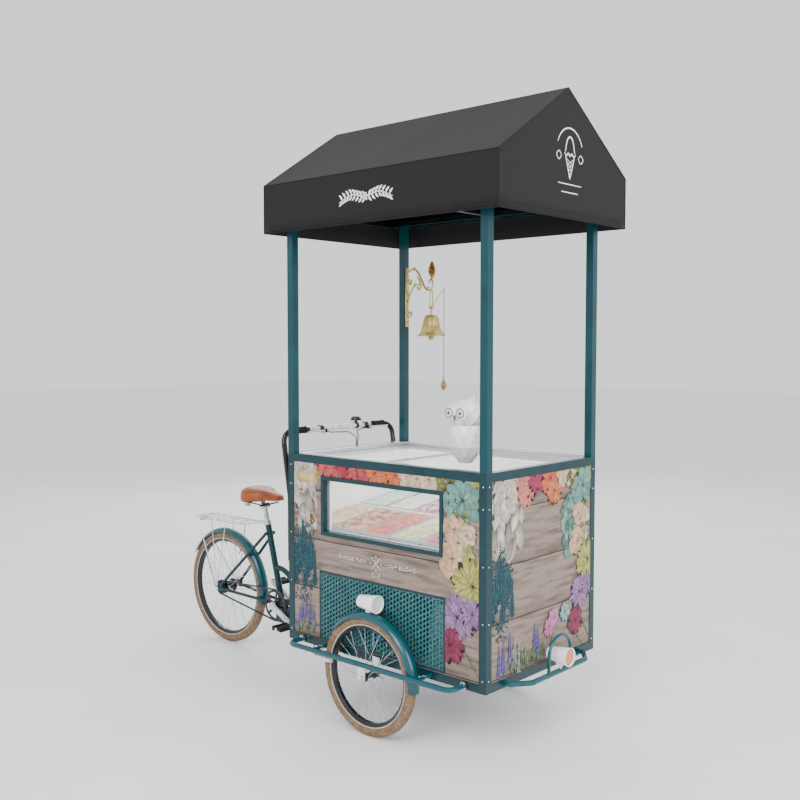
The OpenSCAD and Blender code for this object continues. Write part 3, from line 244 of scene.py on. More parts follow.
varnish = Paint("knob_wood", ["#6e4f1f", "#9a7434", "#b48c49"], (0.25, 0.35), scale=60, stretch=(1, 1, 0.15), coat=0.6)
printed = Paint("printed_sheet", ["#e4e2df", "#ffffff"], (0.45, 0.6), scale=180, detail=4, bump=0.08).painted()
faceted = Paint("owl_white", ["#f2f3f3", "#ffffff"], (0.3, 0.45), scale=12).painted()
ice = Paint("gelato", ["#e9e6e4", "#ffffff"], (0.4, 0.6), scale=160, bump=0.5, bump_scale=500, glow=0.0).painted()
mark_pale = Paint("pale_mark", ["#d9d8d5", "#f3f2ef"], (0.5, 0.7), scale=120)
mark_silver = Paint("silver_mark", ["#b7b8ba", "#e2e3e4"], (0.2, 0.35), metal=0.7, scale=90)
mesh_teal = Paint("mesh_teal", ["#1d5257", "#3a7479"], (0.3, 0.45), metal=0.2, scale=70)
reflector = Paint("reflector", ["#8d8f92", "#c9cbcd", "#a1272a"], (0.1, 0.2), scale=300, coat=0.8)
floor_paint = Paint("floor_pale", ["#f1f1f0", "#f7f7f6"], (0.6, 0.75), scale=1.5)

two_tone = Paint("bar_black_chrome", ["#101113", "#18191b"], (0.2, 0.3), scale=40, coat=0.3)
split(two_tone, "|Y|", "LESS_THAN", 0.205, ("#b9bbbd", "#f4f5f6"))
crank_tone = Paint("crank_black_silver", ["#111214", "#1b1c1e"], (0.22, 0.35), scale=40, coat=0.3)
split(crank_tone, "|Y|", "GREATER_THAN", 0.057, ("#a9abad", "#dfe0e2"))
lens_tone = Paint("lamp_glass", ["#c9cccd", "#eceeee"], (0.08, 0.16), scale=90, coat=0.8)
split(lens_tone, "X", "GREATER_THAN", 1.1, ("#b5643c", "#d98a5d"))


def planks(name):
    """Whitewashed boards laid level, with dark seams and a long grain."""
    paint = Paint(name, ["#65574c", "#7d6e63", "#8c7d72", "#74665b"], (0.5, 0.65), scale=7, stretch=(1, 1, 7),
                  detail=8, bump=0.15)
    fine = paint.add("ShaderNodeTexNoise", {"Vector": paint.place})
    fine.inputs["Scale"].default_value = 46
    fine.inputs["Detail"].default_value = 6
    paint.blend(paint.math("MULTIPLY", fine.outputs[0], 0.55), second_colour(paint, ("#5a4c43", "#9c8d82")))
    wave = paint.add("ShaderNodeTexNoise", {"Vector": paint.coords})
    wave.inputs["Scale"].default_value = 3.0
    wobble = paint.math("MULTIPLY", wave.outputs[0], 0.012)
    level = paint.tree.nodes.new("ShaderNodeMath")
    level.operation = "ADD"
    paint.link(paint.axis("Z"), level.inputs[0])
    paint.link(wobble, level.inputs[1])
    board = paint.math("MODULO", paint.math("ADD", level.outputs[0], -0.118), 0.2173)
    seam = paint.math("LESS_THAN", board, 0.0042)
    soft = paint.ramp(board, [(0.0, (0.45, 0.45, 0.45, 1)), (0.06, (0, 0, 0, 1))])
    paint.blend(soft, second_colour(paint, ("#3f3229", "#4b3d33")))
    paint.blend(seam, second_colour(paint, ("#23180f", "#2d2016")))
    return paint


wood = planks("wood_panel")


def cloth_paint(name, codes, sheen):
    """Woven cloth: crossed threads raise the surface, and the colour wanders a little."""
    paint = Paint(name, codes, (0.75, 0.95), scale=260, detail=2, sheen=sheen)
    waves = []
    for direction in ("X", "Y", "Z"):
        wave = paint.add("ShaderNodeTexWave", {"Vector": paint.coords})
        wave.bands_direction = direction
        wave.inputs["Scale"].default_value = 260
        waves.append(wave.outputs["Fac"])
    total = paint.tree.nodes.new("ShaderNodeMath")
    total.operation = "ADD"
    paint.link(waves[0], total.inputs[0])
    paint.link(waves[2], total.inputs[1])
    paint.bump(total.outputs[0], 0.25, 0.0008)
    return paint


canvas = cloth_paint("canopy_cloth", ["#0e0d10", "#151417", "#111013"], 0.05)
webbing = cloth_paint("canopy_webbing", ["#0a0a0c", "#111113"], 0.03)


# Shapes
class Shape:
    """Points, faces and colours gathered for one piece."""

    def __init__(self):
        self.points, self.faces, self.colours = [], [], []

    def add(self, points, faces, colour=None):
        start = len(self.points)
        self.points += [Vector(p) for p in points]
        self.faces += [[i + start for i in f] for f in faces]
        if colour is not None:
            self.colours += [colour] * len(points) if isinstance(colour[0], float) else list(colour)
        return self

    def tube(self, path, radius, sides=8, closed=False):
        """A round bar along path in metres; radius is one number or one for each point."""
        path = [Vector(p) for p in path]
        count = len(path)
        radii = radius if isinstance(radius, (list, tuple)) else [radius] * count
        normal, points, faces = None, [], []
        for i, p in enumerate(path):
            before = path[i - 1] if i or closed else path[i]
            after = path[(i + 1) % count] if i < count - 1 or closed else path[i]
            way = (after - before).normalized()
            if normal is None:
                normal = way.orthogonal().normalized()
            normal = (normal - way * normal.dot(way)).normalized()
            side = way.cross(normal)
            for k in range(sides):
                a = TAU * k / sides
                points.append(p + (normal * math.cos(a) + side * math.sin(a)) * radii[i])
        for i in range(count if closed else count - 1):
            a, b = i * sides, (i + 1) % count * sides
            faces += [[a + k, a + (k + 1) % sides, b + (k + 1) % sides, b + k] for k in range(sides)]
        if not closed:
            faces += [list(range(sides))[::-1], [(count - 1) * sides + k for k in range(sides)]]
        return self.add(points, faces)

    def lathe(self, profile, centre, axis="Z", sides=32, ripple=None, closed=False):
        """Turns profile, pairs of radius and distance along the axis in mm, round centre.
        ripple(turn, i) is added to a radius."""
        points, faces = [], []
        count = len(profile)
        for j in range(sides):
            a = TAU * j / sides
            for i, (r, h) in enumerate(profile):
                r = max(0.0, r + (ripple(j, i) if ripple else 0.0))
                c, s = r * math.cos(a) / 1000, r * math.sin(a) / 1000
                turned = {"Z": (c, s, h / 1000), "Y": (c, h / 1000, s), "X": (h / 1000, c, s)}[axis]
                points.append(Vector(centre) + Vector(turned))
        for j in range(sides):
            a, b = j * count, (j + 1) % sides * count
            for i in range(count if closed else count - 1):
                k = (i + 1) % count
                faces.append([a + i, a + k, b + k, b + i])
        return self.add(points, faces)

    def block(self, low, high, round_off=1.0):
        """A box with its edges cut back, corners in mm in the frame of the box."""
        low, high = np.array(low, float), np.array(high, float)
        r = min(round_off, 0.45 * float((high - low).min()))
        points, index = [], {}
        for corner in np.ndindex(2, 2, 2):
            for main in range(3):
                p = [
                    (high if corner[k] else low)[k] + (0 if k == main else (-r if corner[k] else r))
                    for k in range(3)
                ]
                index[corner, main] = len(points)
                points.append(at(*p))
        faces = []
        for main in range(3):
            u, v = (main + 1) % 3, (main + 2) % 3
            for end in (0, 1):
                ring = []
                for a, b in ((0, 0), (1, 0), (1, 1), (0, 1)):
                    c = [0, 0, 0]
                    c[main], c[u], c[v] = end, a, b
                    ring.append(index[tuple(c), main])
                faces.append(ring if end else ring[::-1])
            for a in (0, 1):
                for b in (0, 1):
                    c = [0, 0, 0]
                    c[u], c[v] = a, b
                    d = list(c)
                    d[main] = 1
                    faces.append([index[tuple(c), u], index[tuple(d), u], index[tuple(d), v], index[tuple(c), v]])
        for corner in np.ndindex(2, 2, 2):
            faces.append([index[corner, k] for k in range(3)])
        return self.add(points, faces)

    def bolt(self, spot, axis, radius=4.5, height=3.2):
        """A domed screw head on a face whose outward way is axis, with its sign."""
        sign = -1 if axis.startswith("-") else 1
        dome = [(1, 0), (1, 0.3), (0.8, 0.75), (0.45, 1), (0.35, 0.6), (0, 0.6)]
        return self.lathe([(radius * r, height * h * sign) for r, h in dome], at(*spot), axis[-1], 12)

    def make(self, name, paint, body, slot=None, smooth=True, crease=38, weld=False):
        mesh = bpy.data.meshes.new(name)
        mesh.from_pydata([tuple(p) for p in self.points], [], self.faces)
        if self.colours:
            layer = mesh.attributes.new("Print", "FLOAT_COLOR", "POINT")
            layer.data.foreach_set("color", np.array(self.colours, np.float32).ravel())
        piece = bpy.data.objects.new(name, mesh)
        scene.collection.objects.link(piece)
        mesh.materials.append(paint.mat)
        work = bmesh.new()
        work.from_mesh(mesh)
        if weld:
            bmesh.ops.remove_doubles(work, verts=work.verts, dist=1e-5)
        if not self.colours:
            bmesh.ops.recalc_face_normals(work, faces=work.faces)
        work.to_mesh(mesh)
        work.free()
        mesh.polygons.foreach_set("use_smooth", [smooth] * len(mesh.polygons))
        if smooth and crease:
            mesh.set_sharp_from_angle(angle=math.radians(crease))
        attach(piece, body)
        return piece





def spline(points, steps=8):
    """Smooth path through the points."""
    points = [Vector(p) for p in points]
    ends = [points[0] * 2 - points[1], *points, points[-1] * 2 - points[-2]]
    path = []
    for a, b, c, d in zip(ends, ends[1:], ends[2:], ends[3:]):
        for k in range(steps):
            t = k / steps
            bend = (2 * a - 5 * b + 4 * c - d) * t * t + (3 * b - a - 3 * c + d) * t ** 3
            path.append(((2 * b) + (c - a) * t + bend) / 2)
    return [*path, points[-1]]


# The free pull cord of the bell, 0.43 m of 4 mm cotton, and its knob
cord_low, cord_high = node_box("pull_cord")
cord_x, cord_y = (cord_low[0] + cord_high[0]) / 2, (cord_low[1] + cord_high[1]) / 2
knob_low, knob_high = node_box("pull_knob")
knob_l, knob_r = knob_high[2] - knob_low[2], (knob_high[0] - knob_low[0]) / 2

cord_curve = bpy.data.curves.new("pull_cord_line", "CURVE")
cord_curve.dimensions = "3D"
cord_curve.bevel_depth = 0.002
cord_curve.bevel_resolution = 3
cord_curve.use_fill_caps = True
cord_points = [at(cord_x, cord_y, cord_high[2] - (cord_high[2] - cord_low[2]) * k / 20) for k in range(21)]
line = cord_curve.splines.new("POLY")
line.points.add(len(cord_points) - 1)
for point, place in zip(line.points, cord_points):
    point.co = (*place, 1)
pull_line = bpy.data.objects.new("pull_line", cord_curve)
scene.collection.objects.link(pull_line)
cord_curve.materials.append(twine.mat)
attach(pull_line, "bell_pull")
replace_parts(pull_line, "pull_cord")

knob = Shape()
knob.lathe(
    [(0, knob_l), (knob_r * 0.26, knob_l), (knob_r * 0.34, knob_l * 0.95), (knob_r * 0.3, knob_l * 0.86),
     (knob_r * 0.52, knob_l * 0.78), (knob_r * 0.84, knob_l * 0.62), (knob_r, knob_l * 0.45),
     (knob_r * 0.96, knob_l * 0.34), (knob_r * 0.7, knob_l * 0.18), (knob_r * 0.32, knob_l * 0.05), (0, 0)],
    at(cord_x, cord_y, knob_low[2]), "Z", 32)
pull_drop = knob.make("pull_drop", varnish, "bell_pull", "knob_wood")
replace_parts(pull_drop, "pull_knob")
knot_profile = [(0, 7), (3.2, 6), (4.2, 3), (3.6, 0), (4.4, -3), (3, -6), (0, -6)]
knot = Shape().lathe(knot_profile, at(cord_x, cord_y, cord_low[2] + 8), "Z", 12)
cord_knot = knot.make("pull_knot", twine, "bell_pull", "cord_cotton")


# CAD nodes that stay, each with its finish
FINISH = {
    "box_frame": teal, "floor_panel": floor_metal, "side_panels": wood, "end_panels": wood, "window_frame": teal,
    "fixed_glass": glass, "label_plate": brass, "display_tub": glowing_lining, "pan_deck": deck_white, "gelato_pans": case_steel,
    "counter_rim": steel, "glass_lid": glass, "cooling_unit": dark, "condenser_fan": rubber, "battery": dark,
    "service_door": wood, "door_hinges": chrome, "canopy_frame": post_paint, "side_rails": bright_teal,
    "front_fenders": bright_teal, "lamp_housings": gloss_white, "lamp_lenses": lens_tone, "bumper_rail": bright_teal,
    "front_axles": chrome, "front_calipers": chrome, "front_rim_right": black, "front_rim_left": black,
    "handlebar": two_tone, "handlebar_fittings": black, "brake_lever_right": chrome, "brake_lever_left": chrome,
    "brake_cables": cable_skin, "steering_head": dark, "shop_bell": brass, "bell_clapper": old_brass,
    "bike_frame": teal, "rear_mudguard": bright_teal, "rear_rack": chrome, "rear_axle": chrome, "rear_rim": black,
    "crankset": crank_tone, "pedal_right": rubber, "pedal_left": rubber, "seatpost": chrome,
}
for node, paint in FINISH.items():
    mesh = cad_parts[node].data
    mesh.materials.clear()
    mesh.materials.append(paint.mat)
    mesh.polygons.foreach_set("use_smooth", [True] * len(mesh.polygons))
    mesh.set_sharp_from_angle(angle=math.radians(32))


# Canopy
cover_low, cover_high = node_box("canopy_cover")
back_x, front_x = cover_low[0], cover_high[0]
half_w, skirt_z, ridge_z = cover_high[1], cover_low[2], cover_high[2]
eave_z = node_box("canopy_cover", lambda p: abs(p[1]) > half_w - 1)[1][2]


def roof(y):
    return ridge_z + (eave_z - ridge_z) * abs(y) / half_w


def quads(rows, width, closed=False):
    """Faces of a grid of rows of width points, with each row joined into a ring if closed."""
    return [
        [j * width + i, j * width + (i + 1) % width, (j + 1) * width + (i + 1) % width, (j + 1) * width + i]
        for j in range(rows)
        for i in range(width if closed else width - 1)
    ]


def sag(x, amount):
    """Cloth hangs in a little between the frames at both ends and the middle."""
    t = (x - back_x) / (front_x - back_x)
    return amount * abs(math.sin(TAU * t))


canopy = Shape()
outline = [(-half_w, skirt_z + (eave_z - skirt_z) * k / 4) for k in range(4)]
outline += [(-half_w + half_w * k / 8, roof(-half_w + half_w * k / 8)) for k in range(8)]
outline += [(half_w * k / 8, roof(half_w * k / 8)) for k in range(8)]
outline += [(half_w, eave_z + (skirt_z - eave_z) * k / 4) for k in range(5)]
strips = 32
points = []
for i in range(strips + 1):
    x = back_x + (front_x - back_x) * i / strips
    for y, z in outline:
        if abs(y) > half_w - 1:
            share = 1 if z < skirt_z + 1 else 0.5
            points.append(at(x, y - math.copysign(sag(x, 5) * share * (z < eave_z - 1), y), z))
        else:
            inward = sag(x, 7) * math.sin(math.pi * abs(y) / half_w)
            points.append(at(x, y, z - inward))
canopy.add(points, quads(strips, len(outline)))
for x in (back_x, front_x):
    columns = [-half_w + half_w * k / 8 for k in range(8)] + [half_w * k / 8 for k in range(9)]
    points = []
    for y in columns:
        low_band = [skirt_z + (eave_z - skirt_z) * k / 4 for k in range(5)]
        high_band = [eave_z + (roof(y) - eave_z) * k / 4 for k in range(1, 5)]
        points += [at(x, y, z) for z in low_band + high_band]
    canopy.add(points, quads(len(columns) - 1, len(low_band + high_band)))
cover = canopy.make("canopy_cloth", canvas, "cart_box", "canopy_cloth", weld=True, crease=25)
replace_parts(cover, "canopy_cover")
thick = cover.modifiers.new("thickness", "SOLIDIFY")
thick.thickness = 0.0022
thick.offset = -1

hem = Shape()
seam_r = 0.0021
for y in (-half_w, half_w):
    hem.tube([at(back_x, y, eave_z), at(front_x, y, eave_z)], seam_r)
for x in (back_x, front_x):
    gable = [(-half_w, skirt_z), (-half_w, eave_z), (0, ridge_z - 1), (half_w, eave_z), (half_w, skirt_z)]
    hem.tube([at(x, y, z) for y, z in gable], seam_r)
hem.tube([at(back_x, 0, ridge_z - 1.5), at(front_x, 0, ridge_z - 1.5)], seam_r)
corners = [(back_x, -half_w), (front_x, -half_w), (front_x, half_w), (back_x, half_w)]
hem.tube([at(x, y, skirt_z + 1) for x, y in corners], 0.0024, closed=True)
stitch_z = skirt_z + 24
for y in (-half_w, half_w):
    s = math.copysign(1, y)
    for k in range(160):
        x = back_x + 6 + k * (front_x - back_x - 12) / 160
        inset = s * (sag(x, 5) * 0.5 - 0.6)
        hem.tube([at(x, y - inset, stitch_z), at(x + 4.6, y - inset, stitch_z)], 0.0006, 4)
for x in (back_x - 0.5, front_x + 0.5):
    for k in range(112):
        y = -half_w + 5 + k * (2 * half_w - 10) / 112
        hem.tube([at(x, y, stitch_z), at(x, y + 4.6, stitch_z)], 0.0006, 4)
seams = hem.make("canopy_seams", webbing, "cart_box", "canopy_cloth")

# A plain scroll on the near skirt and a plain cone on the front gable, both lettering-free
marks = Shape()


def stroke(path, widths, place, steps=6):
    """A flat pen stroke: a ribbon along path whose width swells, laid on a face by place(u, v, lift)."""
    run = spline([(u, v, 0) for u, v in path], steps)
    count = len(run)
    points = []
    for i, p in enumerate(run):
        way = (run[min(i + 1, count - 1)] - run[max(i - 1, 0)]).normalized()
        side = Vector((-way.y, way.x, 0))
        t = i / (count - 1)
        wide = widths[0] + (widths[1] - widths[0]) * math.sin(math.pi * t)
        points += [place(*(p + side * wide / 2)[:2], 0.9), place(*(p - side * wide / 2)[:2], 0.9)]
    marks.add(points, [[2 * i, 2 * i + 1, 2 * i + 3, 2 * i + 2] for i in range(count - 1)])


def on_skirt(u, v, lift):
    x = -12 + u
    return at(x, -half_w + sag(x, 5) * 0.5 - lift - 0.8, 2222 + v)


stem = [(-150, -16), (-75, 10), (0, -4), (75, 10), (150, -16)]
stroke(stem, (2, 5), on_skirt)
sprig = spline([(u, v, 0) for u, v in stem], 4)
for k, p in enumerate(sprig[1:-1]):
    out = 1 if p.x > 0 else -1
    for s in (-1, 1):
        stroke([(p.x, p.y), (p.x + out * 7, p.y + s * 13), (p.x + out * 19, p.y + s * 23)], (1, 10), on_skirt)
for k in range(6):
    a = TAU * k / 6
    petal = [(0, 0), (9 * math.cos(a + 0.3), 9 * math.sin(a + 0.3)), (19 * math.cos(a), 19 * math.sin(a))]
    stroke([(u, v - 4) for u, v in petal], (1, 10), on_skirt)


def on_gable(u, v, lift):
    return at(front_x + lift, 14 + u, 2335 + v)


stroke([(-34, 38), (-20, 84), (0, 98), (20, 84), (34, 38)], (5, 7), on_gable)
stroke([(-40, 34), (-26, 24), (-13, 34), (0, 24), (13, 34), (26, 24), (40, 34)], (4, 6), on_gable)
for u0, u1 in ((-32, 0), (32, 0)):
    stroke([(u0, 24), ((u0 + u1) / 2, -20), (u1, -66)], (5, 6), on_gable)
for k in range(4):
    v = 14 - 18 * k
    half = 30 * (v + 66) / 90
    stroke([(-half, v), (0, v - half * 0.55), (half * 0.5, v - half * 0.8)], (2.5, 3), on_gable)
    stroke([(half, v), (0, v - half * 0.55), (-half * 0.5, v - half * 0.8)], (2.5, 3), on_gable)
arch = [math.radians(a) for a in range(25, 156, 10)]
stroke([(96 * math.cos(a), 28 + 104 * math.sin(a)) for a in arch], (4, 6), on_gable)
for v, half in ((-86, 84), (-118, 60)):
    stroke([(-half, v), (0, v), (half, v)], (3, 4), on_gable)
for side in (-1, 1):
    stroke([(side * 60, 20), (side * 78, 4), (side * 96, 20), (side * 78, 36), (side * 60, 20)], (3, 4), on_gable)
marks.make("canopy_marks", mark_pale, "cart_box", smooth=False)


# Flowers printed on the panels, as thin petals laid over the boards
PETAL = [(0.0, 0.0), (0.18, 0.26), (0.5, 0.46), (0.82, 0.36), (1.0, 0.08), (0.97, -0.14), (0.78, -0.38),
         (0.46, -0.44), (0.16, -0.24)]


def shaded(colour, amount, top=None):
    """The colour made darker or lighter, held under top if one is given."""
    return tuple(x * amount if top is None else min(top, x * amount) for x in colour[:3]) + (1,)


panel_low, panel_high = node_box("side_panels")
end_low, end_high = node_box("end_panels")
frame_low, frame_high = node_box("box_frame")
window_low, window_high = node_box("window_frame")
grille_low, grille_high = node_box("vent_grilles", lambda p: p[1] < 0)
back_grille_low, back_grille_high = node_box("vent_grilles", lambda p: p[1] > 0)
plate_low, plate_high = node_box("label_plate")
door_low, door_high = node_box("service_door")
hinge_low, hinge_high = node_box("door_hinges")


class Print:
    """One panel's picture. u runs left to right and v top to bottom, both 0 to 1, as seen from outside."""

    def __init__(self, place, wide, top, bottom, holes):
        self.place, self.wide, self.top, self.bottom, self.holes = place, wide, top, bottom, holes
        self.shape = Shape()
        self.layer = 0
        self.tall = top - bottom

    def keep_in(self, s, z, cs, cz):
        s, z = min(max(s, 1), self.wide - 1), min(max(z, self.bottom + 1), self.top - 1)
        for s0, s1, z0, z1 in self.holes:
            if s0 < s < s1 and z0 < z < z1:
                if not s0 < cs < s1:
                    s = s0 if cs <= s0 else s1
                elif not z0 < cz < z1:
                    z = z0 if cz <= z0 else z1
        return s, z

    def petal(self, cs, cz, s, z, angle, length, width, base, tip):
        if any(s0 < cs < s1 and z0 < cz < z1 for s0, s1, z0, z1 in self.holes):
            return
        self.layer += 1
        lift = 0.25 + 0.0016 * self.layer
        c, sn = math.cos(angle), math.sin(angle)
        points, colours = [], []
        edge = mix(tip, (*[x * 0.55 for x in base[:3]], 1), 0.45)
        for along, across in [(0.6, 0.0), *PETAL]:
            a, b = along * length, across * width
            ps, pz = self.keep_in(s + a * c - b * sn, z + a * sn + b * c, cs, cz)
            points.append(self.place(ps, pz, lift))
            bright = mix(base, tip, min(1, along * 1.25))
            colours.append(bright if across == 0 else mix(bright, edge, 0.5))
        colours[0] = mix(tip, (1, 1, 1, 1), 0.06)
        colours = [rich(c) for c in colours]
        self.shape.add(points, [[0, 1 + k, 1 + (k + 1) % len(PETAL)] for k in range(len(PETAL))], colours)

    def flower(self, u, v, r, rings, width, base, tip, jitter=0.2):
        """rings is the number of petals in each ring from the outside in."""
        cs, cz = u * self.wide, self.top - v * self.tall
        base, tip = rgb(base), rgb(tip)
        for k in range(9):
            a = TAU * k / 9 + chance.random()
            self.petal(cs, cz, cs, cz - r * 0.05, a, r * 1.06, r * 0.5, shaded(base, 0.25), shaded(base, 0.4))
        for level, count in enumerate(rings):
            reach = r * (1 - level / (len(rings) + 0.35))
            for k in range(count):
                a = TAU * (k + 0.5 * (level % 2)) / count + chance.uniform(-jitter, jitter)
                length = reach * chance.uniform(0.85, 1.08)
                shade = chance.uniform(0.78, 1.12)
                near = shaded(base, shade * (0.62 + 0.12 * level), 1)
                far = shaded(tip, shade, 1)
                off = reach * 0.1
                s, z = cs + off * math.cos(a), cz + off * math.sin(a)
                self.petal(cs, cz, s, z, a, length, length * width * chance.uniform(0.85, 1.2), near, far)

    def leaves(self, u0, u1, v0, v1, count, size, base, tip, lean=0.0, spread=math.pi, width=0.4):
        base, tip = rgb(base), rgb(tip)
        for _ in range(count):
            u = (u0 + u1) / 2 + (u1 - u0) / 2 * chance.triangular(-1, 1, 0)
            v = v0 + (v1 - v0) * chance.random()
            s, z = u * self.wide, self.top - v * self.tall
            shade = chance.uniform(0.6, 1.2)
            a = lean + chance.uniform(-spread, spread)
            length = size * chance.uniform(0.6, 1.2)
            self.petal(s, z, s, z, a, length, length * width, shaded(base, shade * 0.7), shaded(tip, shade, 1))

    def spike(self, u, v0, v1, size, base, tip, stem="#5d7a4e"):
        """A lavender head on its stem, from the tip at v0 down to v1."""
        s = u * self.wide
        top, foot = self.top - v0 * self.tall, self.top - v1 * self.tall
        self.petal(s, top, s, foot - 26, math.pi / 2, (top - foot) * 0.9, 7, rgb(stem), rgb(stem))
        steps = max(6, int((top - foot) / 5))
        for k in range(steps):
            z = foot + (top - foot) * k / steps
            r = size * (1.1 - 0.8 * k / steps)
            for side in (-1, 1):
                shade = chance.uniform(0.7, 1.15)
                a = math.pi / 2 + side * chance.uniform(0.3, 1.3)
                self.petal(s, z, s, z, a, r, r * 0.55, shaded(rgb(base), shade * 0.7), shaded(rgb(tip), shade, 1))

    def stem(self, u0, v0, u1, v1, colour="#7f9a78"):
        a = Vector((u0 * self.wide, self.top - v0 * self.tall))
        b = Vector((u1 * self.wide, self.top - v1 * self.tall))
        way = b - a
        self.petal(a.x, a.y, a.x, a.y, math.atan2(way.y, way.x), way.length, 7, rgb(colour), rgb(colour))


ROSE, MUM, SUCC = (8, 7, 6, 4), (24, 20, 15, 10), (10, 9, 7, 5)
WHITE, CREAM, PEACH = ("#a89e93", "#e6e0d8"), ("#b39c80", "#ecdcc4"), ("#c08f72", "#efd0b8")
SAGE, OLIVE, TEAL_LEAF = ("#4c7a74", "#9cc2b8"), ("#5d6231", "#a3a664"), ("#0f4a55", "#2f7d8c")


def corner_garland(p, right):
    """The cool flowers and roses down one edge of both kinds of panel, from the share right of the width."""
    u = lambda t: right + (1 - right) * t
    r = p.wide * (1 - right)
    p.leaves(u(-0.05), u(0.9), 0.0, 0.12, 30, r * 0.3, *OLIVE, width=0.5)
    p.leaves(u(0.0), u(0.3), 0.2, 0.4, 18, r * 0.22, *SAGE, width=0.6)
    p.stem(u(0.5), 0.8, u(1.0), 0.97)
    p.stem(u(0.2), 0.88, u(0.72), 1.0)
    p.flower(u(0.95), 0.03, r * 0.28, MUM, 0.3, "#7d7a35", "#c8c67e")
    p.flower(u(0.62), 0.1, r * 0.44, SUCC, 0.62, *SAGE)
    p.flower(u(0.28), 0.12, r * 0.2, SUCC, 0.6, *SAGE)
    p.leaves(u(0.5), u(0.75), 0.17, 0.24, 8, r * 0.18, *OLIVE, width=0.5)
    p.flower(u(0.42), 0.25, r * 0.27, ROSE, 0.9, *PEACH)
    p.flower(u(0.72), 0.27, r * 0.22, ROSE, 0.9, *CREAM)
    p.flower(u(0.38), 0.4, r * 0.36, ROSE, 0.95, *PEACH)
    p.flower(u(0.7), 0.37, r * 0.2, ROSE, 0.9, *CREAM)
    p.leaves(u(0.6), u(0.85), 0.33, 0.42, 8, r * 0.2, "#7f8c4a", "#c4cc86", width=0.5)
    p.flower(u(0.86), 0.52, r * 0.52, MUM, 0.3, "#7f7d38", "#d0cf8a")
    p.flower(u(0.5), 0.69, r * 0.42, MUM, 0.28, "#745283", "#bfa0c8")
    p.flower(u(0.85), 0.66, r * 0.28, MUM, 0.28, "#745283", "#b79ac4")
    p.flower(u(0.32), 0.84, r * 0.34, MUM, 0.3, "#6e1f43", "#b05479")


def left_side(p, wide):
    """White petals over teal sprigs at the left edge. wide is the share of the width that they take."""
    for v, r in ((0.04, 0.6), (0.16, 0.55), (0.09, 0.5)):
        p.flower(wide * chance.uniform(0.2, 0.6), v, p.wide * wide * r, ROSE, 0.9, *WHITE)
    p.leaves(wide * 0.85, wide * 1.25, 0.02, 0.1, 8, 34, "#9c7b22", "#e3bd4a", width=0.5)
    p.leaves(0.0, wide * 0.9, 0.14, 0.3, 22, 90, *WHITE, lean=-math.pi / 2, spread=0.5, width=0.5)
    p.leaves(wide * 0.5, wide, 0.2, 0.3, 5, 40, "#6b5323", "#b38f3c", lean=-1.2, spread=0.5, width=0.4)
    for k in range(9):
        tip_v, foot_v = 0.31 + 0.05 * abs(k - 3) / 2 + 0.03 * (k % 3), 0.7 - 0.04 * (k % 4)
        p.spike(wide * (0.06 + 0.1 * k), tip_v, foot_v, 20, *TEAL_LEAF, stem="#1d4b50")
    p.leaves(0.0, wide * 0.9, 0.34, 0.72, 150, 22, *TEAL_LEAF, width=0.35)
    p.leaves(0.0, wide * 0.7, 0.68, 0.8, 40, 20, *TEAL_LEAF, width=0.35)


def side_print(p):
    left_side(p, 0.15)
    for u in (0.2, 0.26, 0.32, 0.38, 0.43):
        p.flower(u, 0.005 + 0.02 * chance.random(), 58, MUM, 0.3, "#8c2f4a", mix_code("#e28a86", "#c44d6c", chance.random()))
    for u in (0.48, 0.54, 0.59):
        p.flower(u, 0.015, 54, MUM, 0.34, "#a94a2f", "#eb9a70")
    for u in (0.65, 0.7, 0.76):
        p.flower(u, 0.01 + 0.02 * chance.random(), 52, ROSE, 0.9, *CREAM)
    corner_garland(p, 0.8)
    for u, v in ((0.05, 0.8), (0.075, 0.77), (0.1, 0.79), (0.122, 0.82), (0.035, 0.84)):
        p.spike(u, v, v + 0.13, 15, "#5a4a92", "#9f8fd0")
    p.leaves(0.01, 0.13, 0.93, 0.99, 14, 40, "#5b7a55", "#9cb58d", lean=math.pi / 2, spread=0.6, width=0.25)


def end_print(p):
    left_side(p, 0.22)
    for v in (0.03, 0.09):
        p.flower(0.13, v, 86, ROSE, 0.92, *WHITE)
    p.leaves(0.14, 0.3, 0.12, 0.3, 16, 110, *WHITE, lean=-1.8, spread=0.4, width=0.45)
    for u, v in ((0.3, 0.03), (0.32, 0.09), (0.36, 0.04)):
        p.flower(u, v, 56, MUM, 0.3, "#a04a4c", "#ecaaa0")
    for u, v in ((0.42, 0.02), (0.48, 0.015)):
        p.flower(u, v, 60, MUM, 0.3, "#7c2340", "#c95f7e")
    p.flower(0.56, 0.03, 70, MUM, 0.3, "#a4462a", "#ec9268")
    p.flower(0.6, 0.1, 56, MUM, 0.3, "#a4462a", "#f0a57c")
    for u in (0.7, 0.76):
        p.flower(u, 0.02, 54, ROSE, 0.9, *CREAM)
    p.leaves(0.68, 0.82, 0.12, 0.42, 60, 60, *SAGE, lean=-1.4, spread=0.9, width=0.55)
    corner_garland(p, 0.76)
    lavender = [(0.07, 0.82, 0), (0.11, 0.8, 0), (0.17, 0.77, 0), (0.21, 0.8, 1), (0.25, 0.84, 1), (0.41, 0.77, 0), (0.44, 0.8, 0)]
    for u, top, codes in lavender:
        p.spike(u, top, top + 0.17, 17, *(("#5a4596", "#a18fd6"), ("#9a96a0", "#d6d3da"))[codes])
    p.flower(0.56, 0.82, 44, MUM, 0.32, "#9a4a7c", "#dfa0c4")
    p.flower(0.6, 0.78, 38, MUM, 0.32, "#9a4a7c", "#e6b0cf")
    p.flower(0.72, 0.77, 40, SUCC, 0.6, "#7394a0", "#b8d0d4")
    p.leaves(0.1, 0.66, 0.93, 1.0, 60, 46, "#55734e", "#9ab48c", lean=math.pi / 2, spread=0.5, width=0.22)


